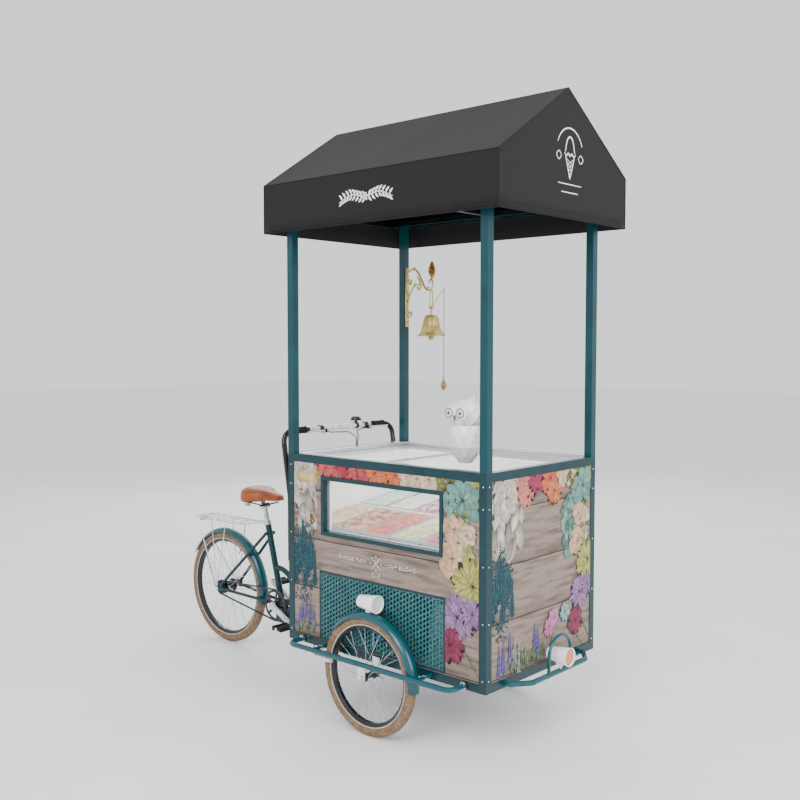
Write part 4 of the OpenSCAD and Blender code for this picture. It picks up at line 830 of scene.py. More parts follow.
def mix_code(a, b, t):
    parts = [round(int(a[i : i + 2], 16) * (1 - t) + int(b[i : i + 2], 16) * t) for i in (1, 3, 5)]
    return "#%02x%02x%02x" % tuple(parts)


half_x, half_y = 522, 356
top_z, bottom_z = panel_high[2], panel_low[2]
side_y, end_x = panel_high[1], end_high[0]
margin = 1.0


def hole(low, high, start, way=1):
    """A rectangle that the print keeps off, from a box's corners; the print's left edge is at start."""
    ends = sorted((way * (low[0] - start), way * (high[0] - start)))
    return (ends[0] - margin, ends[1] + margin, low[2] - margin, high[2] + margin)


near = Print(lambda s, z, lift: at(-half_x + s, -side_y - lift, z), 2 * half_x, top_z, bottom_z, [
    hole(window_low, window_high, -half_x), hole(grille_low, grille_high, -half_x), hole(plate_low, plate_high, -half_x)])
side_print(near)
near.shape.make("print_near_side", printed, "cart_box", smooth=False)
far = Print(lambda s, z, lift: at(half_x - s, side_y + lift, z), 2 * half_x, top_z, bottom_z, [
    hole(back_grille_low, back_grille_high, half_x, -1)])
side_print(far)
far.shape.make("print_far_side", printed, "cart_box", smooth=False)
front = Print(lambda s, z, lift: at(end_x + lift, -half_y + s, z), 2 * half_y, top_z, bottom_z, [])
end_print(front)
front.shape.make("print_front", printed, "cart_box", smooth=False)
back = Print(lambda s, z, lift: at(-end_x - lift, half_y - s, z), 2 * half_y, top_z, bottom_z, [
    (half_y - hinge_high[1] - margin, half_y - door_low[1] + margin, door_low[2] - margin, door_high[2] + margin)])
end_print(back)
back.shape.make("print_back", printed, "cart_box", smooth=False)


# Silver scroll between the window and the grille, and the plaque's raised border
marks = Shape()


def on_panel(u, v, lift):
    return at(-16 + u, -side_y - 1.4 - lift, 711 + v)


for s in (-1, 1):
    stroke([(s * 52, 0), (s * 100, 9), (s * 150, -5), (s * 200, 3), (s * 236, -1)], (1.5, 4), on_panel)
    stroke([(s * 60, -7), (s * 104, 1), (s * 150, 4), (s * 188, -4)], (1, 3), on_panel)
    for u in (84, 124, 164, 204):
        for way in (-1, 1):
            stroke([(s * u, 2), (s * (u + 7), 2 + way * 6), (s * (u + 15), 2 + way * 8)], (1, 5), on_panel)
for ring, count in ((0, 1), (15, 4), (30, 8)):
    for k in range(count):
        a = TAU * (k + 0.5 * (ring == 15)) / count
        u, v = ring * math.cos(a), ring * math.sin(a)
        r = 8.5 if ring == 0 else 6.2 if ring == 15 else 4.8
        turns = [a + TAU * q / 4 for q in range(4)]
        marks.add([on_panel(u + r * math.cos(t), v + r * math.sin(t), 0.9) for t in turns], [[0, 1, 2, 3]])
for s in (-1, 1):
    stroke([(s * 6, -36), (s * 20, -46), (s * 12, -58), (s * 2, -50)], (1, 4), on_panel)
marks.make("silver_scroll", mark_silver, "cart_box", smooth=False)
plaque = Shape()
for inset, r in ((3, 0.0011), (8, 0.0006)):
    lo, hi = plate_low + inset, plate_high - inset
    corners = [(lo[0], lo[2]), (hi[0], lo[2]), (hi[0], hi[2]), (lo[0], hi[2])]
    plaque.tube([at(x, -389.6, z) for x, z in corners], r, 6, closed=True)
for x in (plate_low[0] + 5.5, plate_high[0] - 5.5):
    plaque.bolt((x, -389.5, (plate_low[2] + plate_high[2]) / 2), "-Y", 2.2, 1.2)
plaque.make("plaque_border", brass, "cart_box", "label_brass")


# Expanded mesh over both machine bays
def grille(sign, low, high):
    shape = Shape()
    y_face, y_back = sign * 390.6, sign * 388.2
    edge, pitch_x, pitch_z, slope = 9.0, 17.5, 20.0, 0.55
    x0, x1, z0, z1 = low[0] + edge, high[0] - edge, low[2] + edge, high[2] - edge
    columns = int((x1 - x0) / pitch_x)
    pitch_x = (x1 - x0) / columns
    rows = int((z1 - z0) / pitch_z) + 2
    clamp = lambda z: min(max(z, z0), z1)
    for i in range(columns):
        cx = x0 + pitch_x * (i + 0.5)
        for j in range(-1, rows):
            cz = z0 + pitch_z * (j + 0.5 + 0.5 * (i % 2))
            if cz - pitch_z > z1 or cz + pitch_z < z0:
                continue
            half, hole, tall = pitch_x / 2, pitch_x * 0.3, pitch_z * 0.29
            outer = [(-half, -pitch_z / 2), (half, -pitch_z / 2), (half, pitch_z / 2), (-half, pitch_z / 2)]
            inner = [(-hole, -tall), (hole, -tall), (hole, tall), (-hole, tall)]
            points = []
            for ring, y in ((outer, y_face - sign * 0.9), (inner, y_face), (inner, y_back)):
                points += [at(cx + a, y, clamp(cz + b + slope * a)) for a, b in ring]
            faces = [[k, (k + 1) % 4, 4 + (k + 1) % 4, 4 + k] for k in range(4)]
            faces += [[4 + k, 4 + (k + 1) % 4, 8 + (k + 1) % 4, 8 + k] for k in range(4)]
            shape.add(points, faces)
    return shape, (x0, x1, z0, z1)


for sign, low, high, name in ((-1, grille_low, grille_high, "near"), (1, back_grille_low, back_grille_high, "far")):
    shape, (x0, x1, z0, z1) = grille(sign, low, high)
    strands = shape.make("grille_mesh_" + name, mesh_teal, "cart_box", smooth=False)
    border = Shape()
    y0, y1 = sorted((sign * 388.1, sign * 391))
    for a, b in (((low[0], z1), (high[0], high[2])), ((low[0], low[2]), (high[0], z0)), ((low[0], z0), (x0, z1)), ((x1, z0), (high[0], z1))):
        border.block((a[0], y0, a[1]), (b[0], y1, b[1]), 0.8)
    for x in np.linspace(low[0] + 14, high[0] - 14, 6):
        for z in (low[2] + 4.5, high[2] - 4.5):
            border.bolt((x, sign * 391, z), ("-" if sign < 0 else "") + "Y", 3, 2)
    edging = border.make("grille_border_" + name, teal, "cart_box", "teal_paint")
    if sign < 0:
        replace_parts(strands, "vent_grilles")


# Gelato in its pans
deck_slope = math.radians(7.5)
pans_low, pans_high = node_box("gelato_pans")
pitch = 168.67
pan_columns = 6
deck_z = 862.2
row_reach = (pans_high[1] - pans_low[1]) / 2 / math.cos(deck_slope)
NEAR_ROW = [("#f6e7c9", "#e8c98a"), ("#f4c98a", "#b0344a"), ("#e0446a", "#f29a3c"), ("#f7f5e0", "#dfe68c"),
            ("#c42f6b", "#e984ad"), ("#6b4427", "#8f6038")]
FAR_ROW = [("#bfe3cf", "#e6f4ea"), ("#f9f6ee", "#ece3d2"), ("#b8407f", "#f6dfe8"), ("#e9f1a8", "#bfe6cf"),
           ("#f2c3cf", "#f8e4e8"), ("#c98f4b", "#e7bd7f")]


def on_deck(x, v, w):
    c, s = math.cos(deck_slope), math.sin(deck_slope)
    return at(x, v * c - w * s, deck_z + v * s + w * c)


gelato = Shape()
for row, codes in ((-1, NEAR_ROW), (1, FAR_ROW)):
    for column, (main, second) in enumerate(codes):
        cx, cv = (column - (pan_columns - 1) / 2) * pitch, row * (15 + (row_reach - 15) / 2)
        half_u, half_v = 70, (row_reach - 15) / 2 - 11
        nu, nv = 18, 34
        points, colours = [], []
        phase = chance.uniform(0, TAU)
        first, other = rgb(main), rgb(second)
        for j in range(nv + 1):
            for i in range(nu + 1):
                a, b = 2 * i / nu - 1, 2 * j / nv - 1
                dome = max(0.0, (1 - a ** 4) * (1 - b ** 6))
                swirl = math.sin(7 * b * math.pi + 3.2 * math.sin(a * 2.2 + phase) + phase)
                fold = math.sin(5 * a + 2.3 * math.sin(b * 6 + phase))
                height = 2 + dome * (15 + 4.5 * swirl + 3.5 * fold + chance.uniform(-0.8, 0.8))
                points.append(on_deck(cx + a * half_u, cv + b * half_v, height))
                t = 0.5 + 0.5 * math.sin(3.1 * b * math.pi + 2.6 * math.sin(3 * a + phase) + 1.7 * fold)
                colours.append(rich(mix(first, other, t * t * (3 - 2 * t)), 1.35))
        gelato.add(points, quads(nv, nu + 1), colours)
mounds = gelato.make("gelato_mounds", ice, "cart_box", "gelato", crease=0)
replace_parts(mounds, "gelato_fills")

rims = Shape()
for row in (-1, 1):
    for column in range(pan_columns):
        cx, cv = (column - (pan_columns - 1) / 2) * pitch, row * (15 + (row_reach - 15) / 2)
        hu, hv = 79, (row_reach - 15) / 2 - 2
        corners = [(-1, -1), (1, -1), (1, 1), (-1, 1)]
        rims.tube([on_deck(cx + a * hu, cv + b * hv, 2.2) for a, b in corners], 0.0016, 6, closed=True)
pan_edge = Paint("pan_edge", ["#6c6764", "#8d8885"], (0.3, 0.4), metal=0.6, scale=60)
rims.make("pan_rims", pan_edge, "cart_box", "stainless")
strips_led = Shape()
for s in (-1, 1):
    strips_led.block((-480, s * 335 - 4, 1094), (480, s * 335 + 4, 1098), 1)
strips_led.make("led_strips", led, "cart_box")


# Wheels
def tyre(name, body, centre, middle_r, section_r, slot="tan_tyre"):
    """Round section with ribs and cross cuts in the tread."""
    shape = Shape()
    around, across = 168, 30

    def tread(turn, i):
        a = 360 * i / across
        if min(a, 360 - a) > 52:
            return 0.0
        rib = -0.7 if i % 3 == 0 else 0.0
        cut = -0.7 if (turn + (i if a < 180 else across - i)) % 6 == 0 and min(a, 360 - a) > 10 else 0.0
        return rib + cut

    turns = [TAU * k / across for k in range(across)]
    profile = [(middle_r + section_r * math.cos(a), section_r * math.sin(a)) for a in turns]
    shape.lathe(profile, centre, "Y", around, tread, closed=True)
    made = shape.make(name, tyre_tan, body, slot, crease=0)
    band = Shape()
    for s in (-1, 1):
        r = middle_r - section_r * 0.76
        y = s * section_r * 0.66
        ring = [(r - 1.8, y - s * 1.4), (r - 1.2, y + s * 1.6), (r + 1.8, y + s * 2.6), (r + 3.4, y + s * 2.0), (r + 3.0, y - s * 1.0)]
        band.lathe(ring, centre, "Y", 96, closed=True)
    band.make(name + "_band", tyre_band, body)
    return made


def wheel_metal(name, body, centre, rim_r, half, flange_y, flange_r, shell_r, spokes):
    """Hub shell, laced spokes and their nipples; centre in metres, the rest in mm."""
    hub = Shape()
    profile = [(8, -half), (9.5, -half), (9.5, -half + 6), (shell_r * 0.8, -flange_y - 6), (flange_r, -flange_y - 2), (flange_r, -flange_y + 2),
               (shell_r, -flange_y + 6), (shell_r * 0.92, 0), (shell_r, flange_y - 6), (flange_r, flange_y - 2), (flange_r, flange_y + 2),
               (shell_r * 0.8, flange_y + 6), (9.5, half - 6), (9.5, half), (8, half)]
    hub.lathe(profile, centre, "Y", 40)
    shell = hub.make(name + "_shell", black, body, "hub_grey")
    wires, nipples = Shape(), Shape()
    count = spokes // 2
    for s in (-1, 1):
        for k in range(count):
            lean = (1 if k % 2 else -1) * math.radians(46)
            a = TAU * (k + (0.25 if s > 0 else -0.25)) / count
            b = a + lean
            foot = Vector(centre) + Vector(((flange_r - 3.5) * math.cos(b), s * flange_y, (flange_r - 3.5) * math.sin(b))) / 1000
            tip = Vector(centre) + Vector(((rim_r - 1) * math.cos(a), s * 2.5, (rim_r - 1) * math.sin(a))) / 1000
            wires.tube([foot, foot.lerp(tip, 0.5), tip], 0.00105, 5)
            nipples.tube([foot.lerp(tip, 1 - 13 / (tip - foot).length / 1000), foot.lerp(tip, 0.99), tip], [0.0013, 0.002, 0.0022], 6)
            nipples.tube([foot - Vector((0, 0.0022, 0)), foot + Vector((0, 0.0022, 0))], 0.0019, 6)
    wires.make(name + "_spokes", chrome, body, "bright_steel")
    nipples.make(name + "_nipples", hub_grey, body, "hub_grey")
    valve = Shape()
    way = Vector((math.cos(1.1), 0, math.sin(1.1)))
    valve.tube([Vector(centre) + way * (rim_r + d) / 1000 for d in (1, -22, -34)], [0.0032, 0.0026, 0.0018], 8)
    valve.make(name + "_valve", black, body)
    return shell


for side in ("right", "left"):
    body = "front_wheel_" + side
    low, high = node_box("front_tyre_" + side)
    rim_low, rim_high = node_box("front_rim_" + side)
    hub_low, hub_high = node_box("front_hub_" + side)
    centre_mm = (low + high) / 2
    section = (high[1] - low[1]) / 2
    outer = (high[2] - low[2]) / 2
    centre = at(*centre_mm)
    made = tyre("tyre_" + side, body, centre, outer - section, section)
    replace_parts(made, "front_tyre_" + side)
    rim_inner = (hub_high[2] - hub_low[2]) / 2
    hub_half = (hub_high[1] - hub_low[1]) / 2
    made = wheel_metal("wheel_" + side, body, centre, rim_inner, hub_half, 28, 20, 13, 28)
    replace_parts(made, "front_hub_" + side)

low, high = node_box("rear_tyre")
hub_low, hub_high = node_box("rear_hub")
rear_mm = (low + high) / 2
section = (high[1] - low[1]) / 2
rear_centre = at(*rear_mm)
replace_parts(tyre("tyre_rear", "rear_wheel", rear_centre, (high[2] - low[2]) / 2 - section, section), "rear_tyre")
rim_inner, hub_half = (hub_high[2] - hub_low[2]) / 2, (hub_high[1] - hub_low[1]) / 2
made = wheel_metal("wheel_rear", "rear_wheel", rear_centre, rim_inner, hub_half, 30, 36, 27, 36)
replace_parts(made, "rear_hub")

# Rear sprocket and the chain's links
crank_low, crank_high = node_box("crankset")
crank_xz = ((crank_low[0] + crank_high[0]) / 2, (crank_low[2] + crank_high[2]) / 2)
rear_xz = (rear_mm[0], rear_mm[2])
PITCH, RING_TEETH, COG_TEETH, CHAIN_Y = 12.7, 40, 18, -48
ring_r = PITCH / 2 / math.sin(math.pi / RING_TEETH)
cog_r = PITCH / 2 / math.sin(math.pi / COG_TEETH)


def plate_of(shape, outline, y0, y1):
    """A flat plate in the X-Z plane, from its outline in mm."""
    count = len(outline)
    points = [at(x, y, z) for y in (y0, y1) for x, z in outline]
    caps = [list(range(count)), list(range(count, 2 * count))[::-1]]
    shape.add(points, caps + quads(1, count, closed=True))


cog = Shape()
teeth = []
for k in range(COG_TEETH * 4):
    a, r = TAU * k / COG_TEETH / 4, cog_r + (3.4 if k % 4 == 2 else -3.8 if k % 4 == 0 else 0)
    teeth.append((rear_xz[0] + r * math.cos(a), rear_xz[1] + r * math.sin(a)))
plate_of(cog, teeth, CHAIN_Y - 1.3, CHAIN_Y + 1.3)
cog.lathe([(24, -49.5), (24, -44), (19, -40), (19, -36)], rear_centre, "Y", 32)
cog.make("rear_sprocket", dark, "rear_wheel", "machine_black")

dx, dz = rear_xz[0] - crank_xz[0], rear_xz[1] - crank_xz[1]
far_apart, lie = math.hypot(dx, dz), math.atan2(-dz, -dx)
wrap = math.acos((cog_r - ring_r) / far_apart)
path = []
for k in range(61):
    a = lie - wrap + 2 * wrap * k / 60
    path.append(Vector((crank_xz[0] + ring_r * math.cos(a), crank_xz[1] + ring_r * math.sin(a))))
for k in range(41):
    a = lie + wrap + (TAU - 2 * wrap) * k / 40
    path.append(Vector((rear_xz[0] + cog_r * math.cos(a), rear_xz[1] + cog_r * math.sin(a))))
lengths = [(path[(k + 1) % len(path)] - path[k]).length for k in range(len(path))]
total = sum(lengths)
link_count = 2 * round(total / PITCH / 2)


def along(distance):
    distance %= total
    for k, step in enumerate(lengths):
        if distance <= step:
            return path[k].lerp(path[(k + 1) % len(path)], distance / max(step, 1e-9))
        distance -= step
    return path[0]


ROLLER = [(0, -3.4), (1.7, -3.4), (1.7, -1.4), (3.4, -1.4), (3.4, 1.4), (1.7, 1.4), (1.7, 3.4), (0, 3.4)]
links, pins = Shape(), Shape()
for k in range(link_count):
    a, b = along(total * k / link_count), along(total * (k + 1) / link_count)
    way = (b - a).normalized()
    side = Vector((-way.y, way.x))
    outline = []
    for end, start in ((a, 90), (b, -90)):
        for q in range(5):
            turn = math.radians(start + 180 * q / 4)
            outline.append(tuple(end + (way * math.cos(turn) + side * math.sin(turn)) * 3.9))
    off = 2.9 if k % 2 else 1.9
    for s in (-1, 1):
        y = CHAIN_Y + s * off
        plate_of(links, outline, y - 0.45, y + 0.45)
    pins.lathe(ROLLER, at(a.x, CHAIN_Y, a.y), "Y", 8)
chain_links = links.make("chain_links", dark, "bike", "machine_black")
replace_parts(chain_links, "chain")
pins.make("chain_rollers", hub_grey, "bike", "hub_grey")


# Saddle
seat_low, seat_high = node_box("saddle")
seat_l, seat_hw, seat_h = seat_high[0] - seat_low[0], seat_high[1], seat_high[2] - seat_low[2]
WIDTHS = [(0.0, 0.3), (0.03, 0.62), (0.1, 0.86), (0.2, 0.98), (0.3, 1.0), (0.4, 0.9), (0.5, 0.7), (0.6, 0.5),
          (0.7, 0.38), (0.8, 0.31), (0.9, 0.28), (0.96, 0.24), (1.0, 0.12)]
CROWNS = [(0.0, 0.66), (0.04, 0.86), (0.12, 0.98), (0.25, 1.0), (0.4, 0.95), (0.55, 0.87), (0.7, 0.8),
          (0.85, 0.72), (0.95, 0.62), (1.0, 0.48)]
SKIRTS = [(0.0, 0.25), (0.08, 0.08), (0.3, 0.02), (0.5, 0.12), (0.7, 0.2), (0.9, 0.24), (1.0, 0.32)]


def shape_at(table, t):
    for (a, x), (b, y) in zip(table, table[1:]):
        if t <= b:
            s = (t - a) / (b - a)
            return x + (y - x) * s
    return table[-1][1]


def saddle_point(t, turn, swell=0.0):
    """turn runs from -1 at the right skirt over the crown to 1 at the left skirt."""
    wide, crown, skirt = (shape_at(table, t) for table in (WIDTHS, CROWNS, SKIRTS))
    a = turn * math.pi * 0.53
    y = seat_hw * wide * math.copysign(abs(math.sin(a)) ** 0.78, a)
    rise = max(0.0, math.cos(a)) ** 0.5 if math.cos(a) > 0 else -abs(math.cos(a)) ** 0.8
    z = seat_low[2] + seat_h * (skirt + (crown - skirt) * (0.22 + 0.78 * rise))
    groove = 5.0 * math.exp(-((y / 11) ** 2)) * math.exp(-(((t - 0.42) / 0.26) ** 2))
    return (seat_low[0] + seat_l * t, y * (1 + swell), z - groove + swell * 40)


seat = Shape()
lengthwise, crosswise = 36, 26
points = []
for i in range(lengthwise + 1):
    t = 0.5 - 0.5 * math.cos(math.pi * i / lengthwise)
    ring = [saddle_point(t, 2 * j / crosswise - 1) for j in range(crosswise + 1)]
    x, y, z = ring[-1]
    inner = [(x, y * s, z + 9) for s in (0.9, 0.3, -0.3, -0.9)]
    points += [at(*p) for p in ring + inner]
width = crosswise + 5
faces = quads(lengthwise, width, closed=True)
faces += [list(range(width)), [lengthwise * width + k for k in range(width)][::-1]]
seat.add(points, faces)
pad = seat.make("saddle_pad", leather, "seat", "saddle_leather", crease=60)
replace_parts(pad, "saddle")
pad_round = pad.modifiers.new("round", "SUBSURF")
pad_round.levels = pad_round.render_levels = 1
stitches, piping = Shape(), Shape()
for s in (-1, 1):
    run = [saddle_point(0.04 + 0.92 * k / 60, s * 0.62, 0.01) for k in range(61)]
    piping.tube([at(*p) for p in run], 0.0012, 6)
    for k in range(0, 60):
        a, b = Vector(run[k]), Vector(run[k + 1])
        lift = Vector((0, s * 0.4, 3.6))
        stitches.tube([at(*(a + lift)), at(*(a.lerp(b, 0.6) + lift))], 0.0005, 4)
edge = [saddle_point(0.5 - 0.5 * math.cos(math.pi * k / 40), 0.985, 0.005) for k in range(41)]
piping.tube([at(*p) for p in edge] + [at(p[0], -p[1], p[2]) for p in edge[::-1]], 0.0017, 6, closed=True)
piping.make("saddle_piping", thread, "seat", "saddle_leather")
stitches.make("saddle_stitches", Paint("stitch", ["#c98d5d", "#e0ab7c"], (0.6, 0.8), scale=300), "seat", "saddle_leather")
under = Shape()
under_z = seat_low[2] + 4
clamp_x = -1184
for s in (-1, 1):
    rail = [(seat_low[0] + 40, s * 46, under_z), (clamp_x - 40, s * 26, under_z - 9),
            (clamp_x + 10, s * 21, under_z - 11), (seat_high[0] - 40, s * 9, under_z + 10)]
    under.tube([at(*p) for p in spline(rail, 8)], 0.0035, 8)
    coil = [
        at(seat_low[0] + 46 + 11 * math.cos(TAU * k / 12), s * 52 + 11 * math.sin(TAU * k / 12), under_z - 20 + 22 * k / 48)
        for k in range(49)
    ]
    under.tube(coil, 0.0018, 6)
under.block((seat_low[0] + 24, -66, under_z + 2), (seat_low[0] + 74, 66, under_z + 8), 2)
under.block((clamp_x - 16, -27, under_z - 20), (clamp_x + 16, 27, under_z - 5), 3)
under.make("saddle_frame", black, "seat", "black_metal")


# Grips, cable clips and clamp screws
grips = Shape()
for keep in (lambda p: p[1] > 0, lambda p: p[1] < 0):
    low, high = node_box("grips", keep)
    r = (high[2] - low[2]) / 2
    centre = at((low[0] + high[0]) / 2, low[1], (low[2] + high[2]) / 2)
    length = high[1] - low[1]
    profile = [(12.6, 0), (r + 1.2, 0), (r + 1.6, 3), (r, 6)]
    steps = int((length - 16) / 3)
    profile += [(r - (0.9 if k % 2 else 0.0), 8 + k * (length - 16) / steps) for k in range(steps + 1)]
    profile += [(r + 1.2, length - 5), (r + 1.2, length - 1), (12.6, length)]
    grips.lathe(profile, centre, "Y", 28)
ribbed = grips.make("ribbed_grips", rubber, "cart_box", "grip_rubber", crease=20)
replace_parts(ribbed, "grips")

hardware, dark_hardware = Shape(), Shape()
rail_low, rail_high = node_box("side_rails")
rail_z = (rail_low[2] + rail_high[2]) / 2
for sx in (-1, 1):
    for sy in (-1, 1):
        x = sx * (rail_high[0] - rail_low[0] - 22) / 2
        hardware.lathe([(11.4, -7), (13.4, -7), (13.8, 0), (13.4, 7), (11.4, 7)], at(x, sy * 404, rail_z), "Y", 24)
        hardware.lathe([(0, -9), (3.2, -9), (3.2, 9), (0, 9)], at(x, sy * 404, rail_z + 13), "X", 10)
for sy in (-1, 1):
    for x in (-305, 285):
        hardware.lathe([(8.4, -5), (10.4, -5), (10.6, 0), (10.4, 5), (8.4, 5)], at(x, sy * 430, rail_z), "Y", 20)
for sx in (-1, 1):
    for sy in (-1, 1):
        for z in (340, 560, 780, 1000, 1085):
            hardware.bolt((sx * 540, sy * 391, z), ("-" if sy < 0 else "") + "Y", 3.2, 1.6)
            hardware.bolt((sx * 557, sy * 374, z), ("-" if sx < 0 else "") + "X", 3.2, 1.6)
for y in (-366, 366):
    for z in (700, 870):
        hardware.bolt((-575, y, z), "-X", 5, 3)
for y in (-250, 250):
    for z in (430, 640, 840):
        dark_hardware.block((-564.5, y - 5, z), (-556, y + 5, z + 7), 1)
hardware.make("clamps_and_screws", chrome, "cart_box", "bright_steel")
dark_hardware.make("cable_clips", cable_skin, "cart_box", "cable_black")

# Reflector under the back of the rack
rack_low, rack_high = node_box("rear_rack")
tail = Shape()
tail.block((rack_low[0] - 1, -24, rack_high[2] - 66), (rack_low[0] + 6, 24, rack_high[2] - 42), 3)
for k in range(5):
    for j in range(3):
        tail.lathe([(0, -2.2), (2.4, -1.6), (3.4, 0)], at(rack_low[0] - 1, -18 + 9 * k, rack_high[2] - 60 + 7 * j), "X", 6)
tail.make("rear_reflector", reflector, "bike")


# Owl
owl_low, owl_high = node_box("owl_ornament")
owl_x, owl_y = (owl_low[0] + owl_high[0]) / 2, (owl_low[1] + owl_high[1]) / 2
owl_w, owl_h = (owl_high[0] - owl_low[0]) / 2, owl_high[2] - owl_low[2]
owl = Shape()


def on_owl(across, out, up):
    """A point of the owl: across as a share of its half width, out in mm, up as a share of its height."""
    return at(owl_x + owl_w * across, owl_y + out, owl_low[2] + owl_h * up)


LEVELS = [(0.0, 0.4, 0.36), (0.1, 0.7, 0.62), (0.24, 0.96, 0.86), (0.42, 0.98, 0.9), (0.55, 0.84, 0.78),
          (0.62, 0.98, 0.86), (0.74, 1.0, 0.92), (0.84, 0.92, 0.82), (0.9, 0.6, 0.52), (0.93, 0.0, 0.0)]
rings = []
for level, (h, wx, wy) in enumerate(LEVELS):
    count = 9
    turns = [TAU * (k + 0.5 * (level % 2)) / count for k in range(count)]
    rings.append([on_owl(wx * math.cos(a), owl_w * wy * math.sin(a), h) for a in turns])


def lit_facet(points, dim=1.0):
    points = [Vector(p) for p in points]
    normal = (points[1] - points[0]).cross(points[2] - points[0])
    if normal.length < 1e-12:
        return
    normal.normalize()
    middle = sum(points, Vector()) / len(points)
    if normal.dot(middle - at(owl_x, owl_y, owl_low[2] + owl_h * 0.5)) < 0:
        normal = -normal
        points = points[::-1]
    # Painted light: each facet is coloured white where it faces up and towards -Y and dark teal-grey where it faces
    # down and away, as if lit from above; dim darkens it further as painted shade.
    shade = 0.5 + 0.5 * max(-1.0, min(1.0, normal.z * 0.9 - normal.y * 0.35 - normal.x * 0.1))
    colour = mix(rgb("#3f5255"), rgb("#f4f4f4"), min(1, shade * 1.35) * dim)
    owl.add(points, [list(range(len(points)))], colour)


for level in range(len(rings) - 1):
    a, b = rings[level], rings[level + 1]
    count = len(a)
    for k in range(count):
        n = (k + 1) % count
        if level % 2:
            lit_facet([a[k], a[n], b[n]])
            lit_facet([a[k], b[n], b[k]])
        else:
            lit_facet([a[k], a[n], b[k]])
            lit_facet([a[n], b[n], b[k]])
lit_facet(rings[0][::-1])
for s in (-1, 1):
    base = [on_owl(s * 0.82, -8, 0.83), on_owl(s * 0.2, -22, 0.9), on_owl(s * 0.46, 30, 0.85)]
    tip = at(owl_x + s * owl_w * 0.74, owl_y - 12, owl_high[2])
    for k in range(3):
        lit_facet([base[k], base[(k + 1) % 3], tip])
    wing = [on_owl(s * 0.93, -34, 0.5), on_owl(s, 30, 0.46), on_owl(s * 0.8, 6, 0.08)]
    # Painted shade: the wing facets are dimmed to 0.9 and 0.8.
    lit_facet([wing[0], wing[2], at(owl_x + s * owl_w, owl_y, owl_low[2] + owl_h * 0.3)], 0.9)
    lit_facet([wing[1], wing[2], at(owl_x + s * owl_w, owl_y, owl_low[2] + owl_h * 0.3)], 0.8)
face_y = owl_y - owl_w * 0.9
bird = owl.make("owl_faceted", faceted, "cart_box", "owl_white", smooth=False)
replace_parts(bird, "owl_ornament")
eyes, pupils = Shape(), Shape()
for s in (-1, 1):
    centre = at(owl_x + s * 29, face_y - 1, owl_low[2] + owl_h * 0.74)
    eyes.lathe([(0, -8), (12, -7.5), (15, -4), (24, -6), (29, -1), (28, 6)], centre, "Y", 12)
    for ring in (17, 21):
        circle = [Vector((ring * math.cos(TAU * k / 12), -6.2, ring * math.sin(TAU * k / 12))) for k in range(12)]
        pupils.tube([centre + p / 1000 for p in circle], 0.001, 5, closed=True)
    pupils.lathe([(0, -11), (6, -9.5), (8.5, -7.4), (8.5, -5)], centre, "Y", 12)
beak = [(0, -16, 0), (-8, -4, 8), (8, -4, 8), (0, -8, -20)]
beak = [at(owl_x + a, face_y + b, owl_low[2] + owl_h * 0.68 + c) for a, b, c in beak]
pupils.add(beak, [[0, 1, 2], [0, 2, 3], [0, 3, 1], [1, 3, 2]])
eyes.make("owl_eye_discs", gloss_white, "cart_box", "owl_white", smooth=False)
owl_grey = Paint("owl_grey", ["#4c5558", "#6d777a"], (0.25, 0.35), metal=0.4, scale=50)
pupils.make("owl_eyes_and_beak", owl_grey, "cart_box", smooth=False)


# Scroll bracket of the shop bell
bracket_low, bracket_high = node_box("bell_bracket")
plate_x, bell_y = bracket_low[0], (bracket_low[1] + bracket_high[1]) / 2
bell_x, pivot_z = -360, 1805
iron = Shape()


def flat(path, sizes, steps=6):
    """A forged bar in the X-Z plane; path is out from the post and up, in mm."""
    run = spline([(plate_x + x, 0, z) for x, z in path], steps)
    count = len(run)
    swells = [math.sin(math.pi * min(1, 0.15 + 0.85 * i / (count - 1))) for i in range(count)]
    radii = [(sizes[0] + (sizes[1] - sizes[0]) * swell) / 1000 for swell in swells]
    iron.tube([at(p.x, bell_y, p.z) for p in run], radii, 10)


iron.block((plate_x, bell_y - 13, bracket_low[2]), (plate_x + 6, bell_y + 13, bracket_high[2] - 22), 2)
for z in (bracket_low[2] + 18, bracket_high[2] - 44):
    iron.bolt((plate_x + 6, bell_y, z), "X", 5, 3)
flat([(5, 1968), (18, 1988), (44, 1998), (72, 1984), (94, 1950), (112, 1918), (126, 1899), (142, 1891), (158, 1893),
      (171, 1908), (170, 1930), (160, 1942), (149, 1936), (151, 1925)], (3, 5.5))
flat([(70, 1960), (88, 1936), (92, 1908), (84, 1896), (72, 1900), (74, 1912)], (2.4, 4.5))
flat([(5, 1768), (14, 1760), (30, 1766), (36, 1780), (26, 1788), (18, 1780)], (2.5, 4.5))
flat([(7, 1790), (12, 1836), (26, 1880), (52, 1912), (84, 1922), (112, 1912)], (3, 5))
flat([(10, 1940), (26, 1946), (34, 1932), (24, 1922), (16, 1930)], (2.4, 4))
for x, z, r in ((74, 1905, 6.5), (22, 1781, 8), (22, 1932, 6.5), (151, 1928, 5.5)):
    iron.lathe([(0, -r), (r * 0.7, -r * 0.7), (r, 0), (r * 0.7, r * 0.7), (0, r)], at(plate_x + x, bell_y, z), "Z", 14)
leaf_angles = [(40, 1992, 0.4), (100, 1934, -0.9), (46, 1908, 0.9), (128, 1896, 0.1)]
for x, z, a in leaf_angles:
    leaf = [(0, 0), (12, 7), (24, 6)]
    leaf = [at(plate_x + x + r * math.cos(a), bell_y, z + r * math.sin(a) + up) for r, up in leaf]
    iron.tube(leaf, [0.004, 0.005, 0.0012], 8)
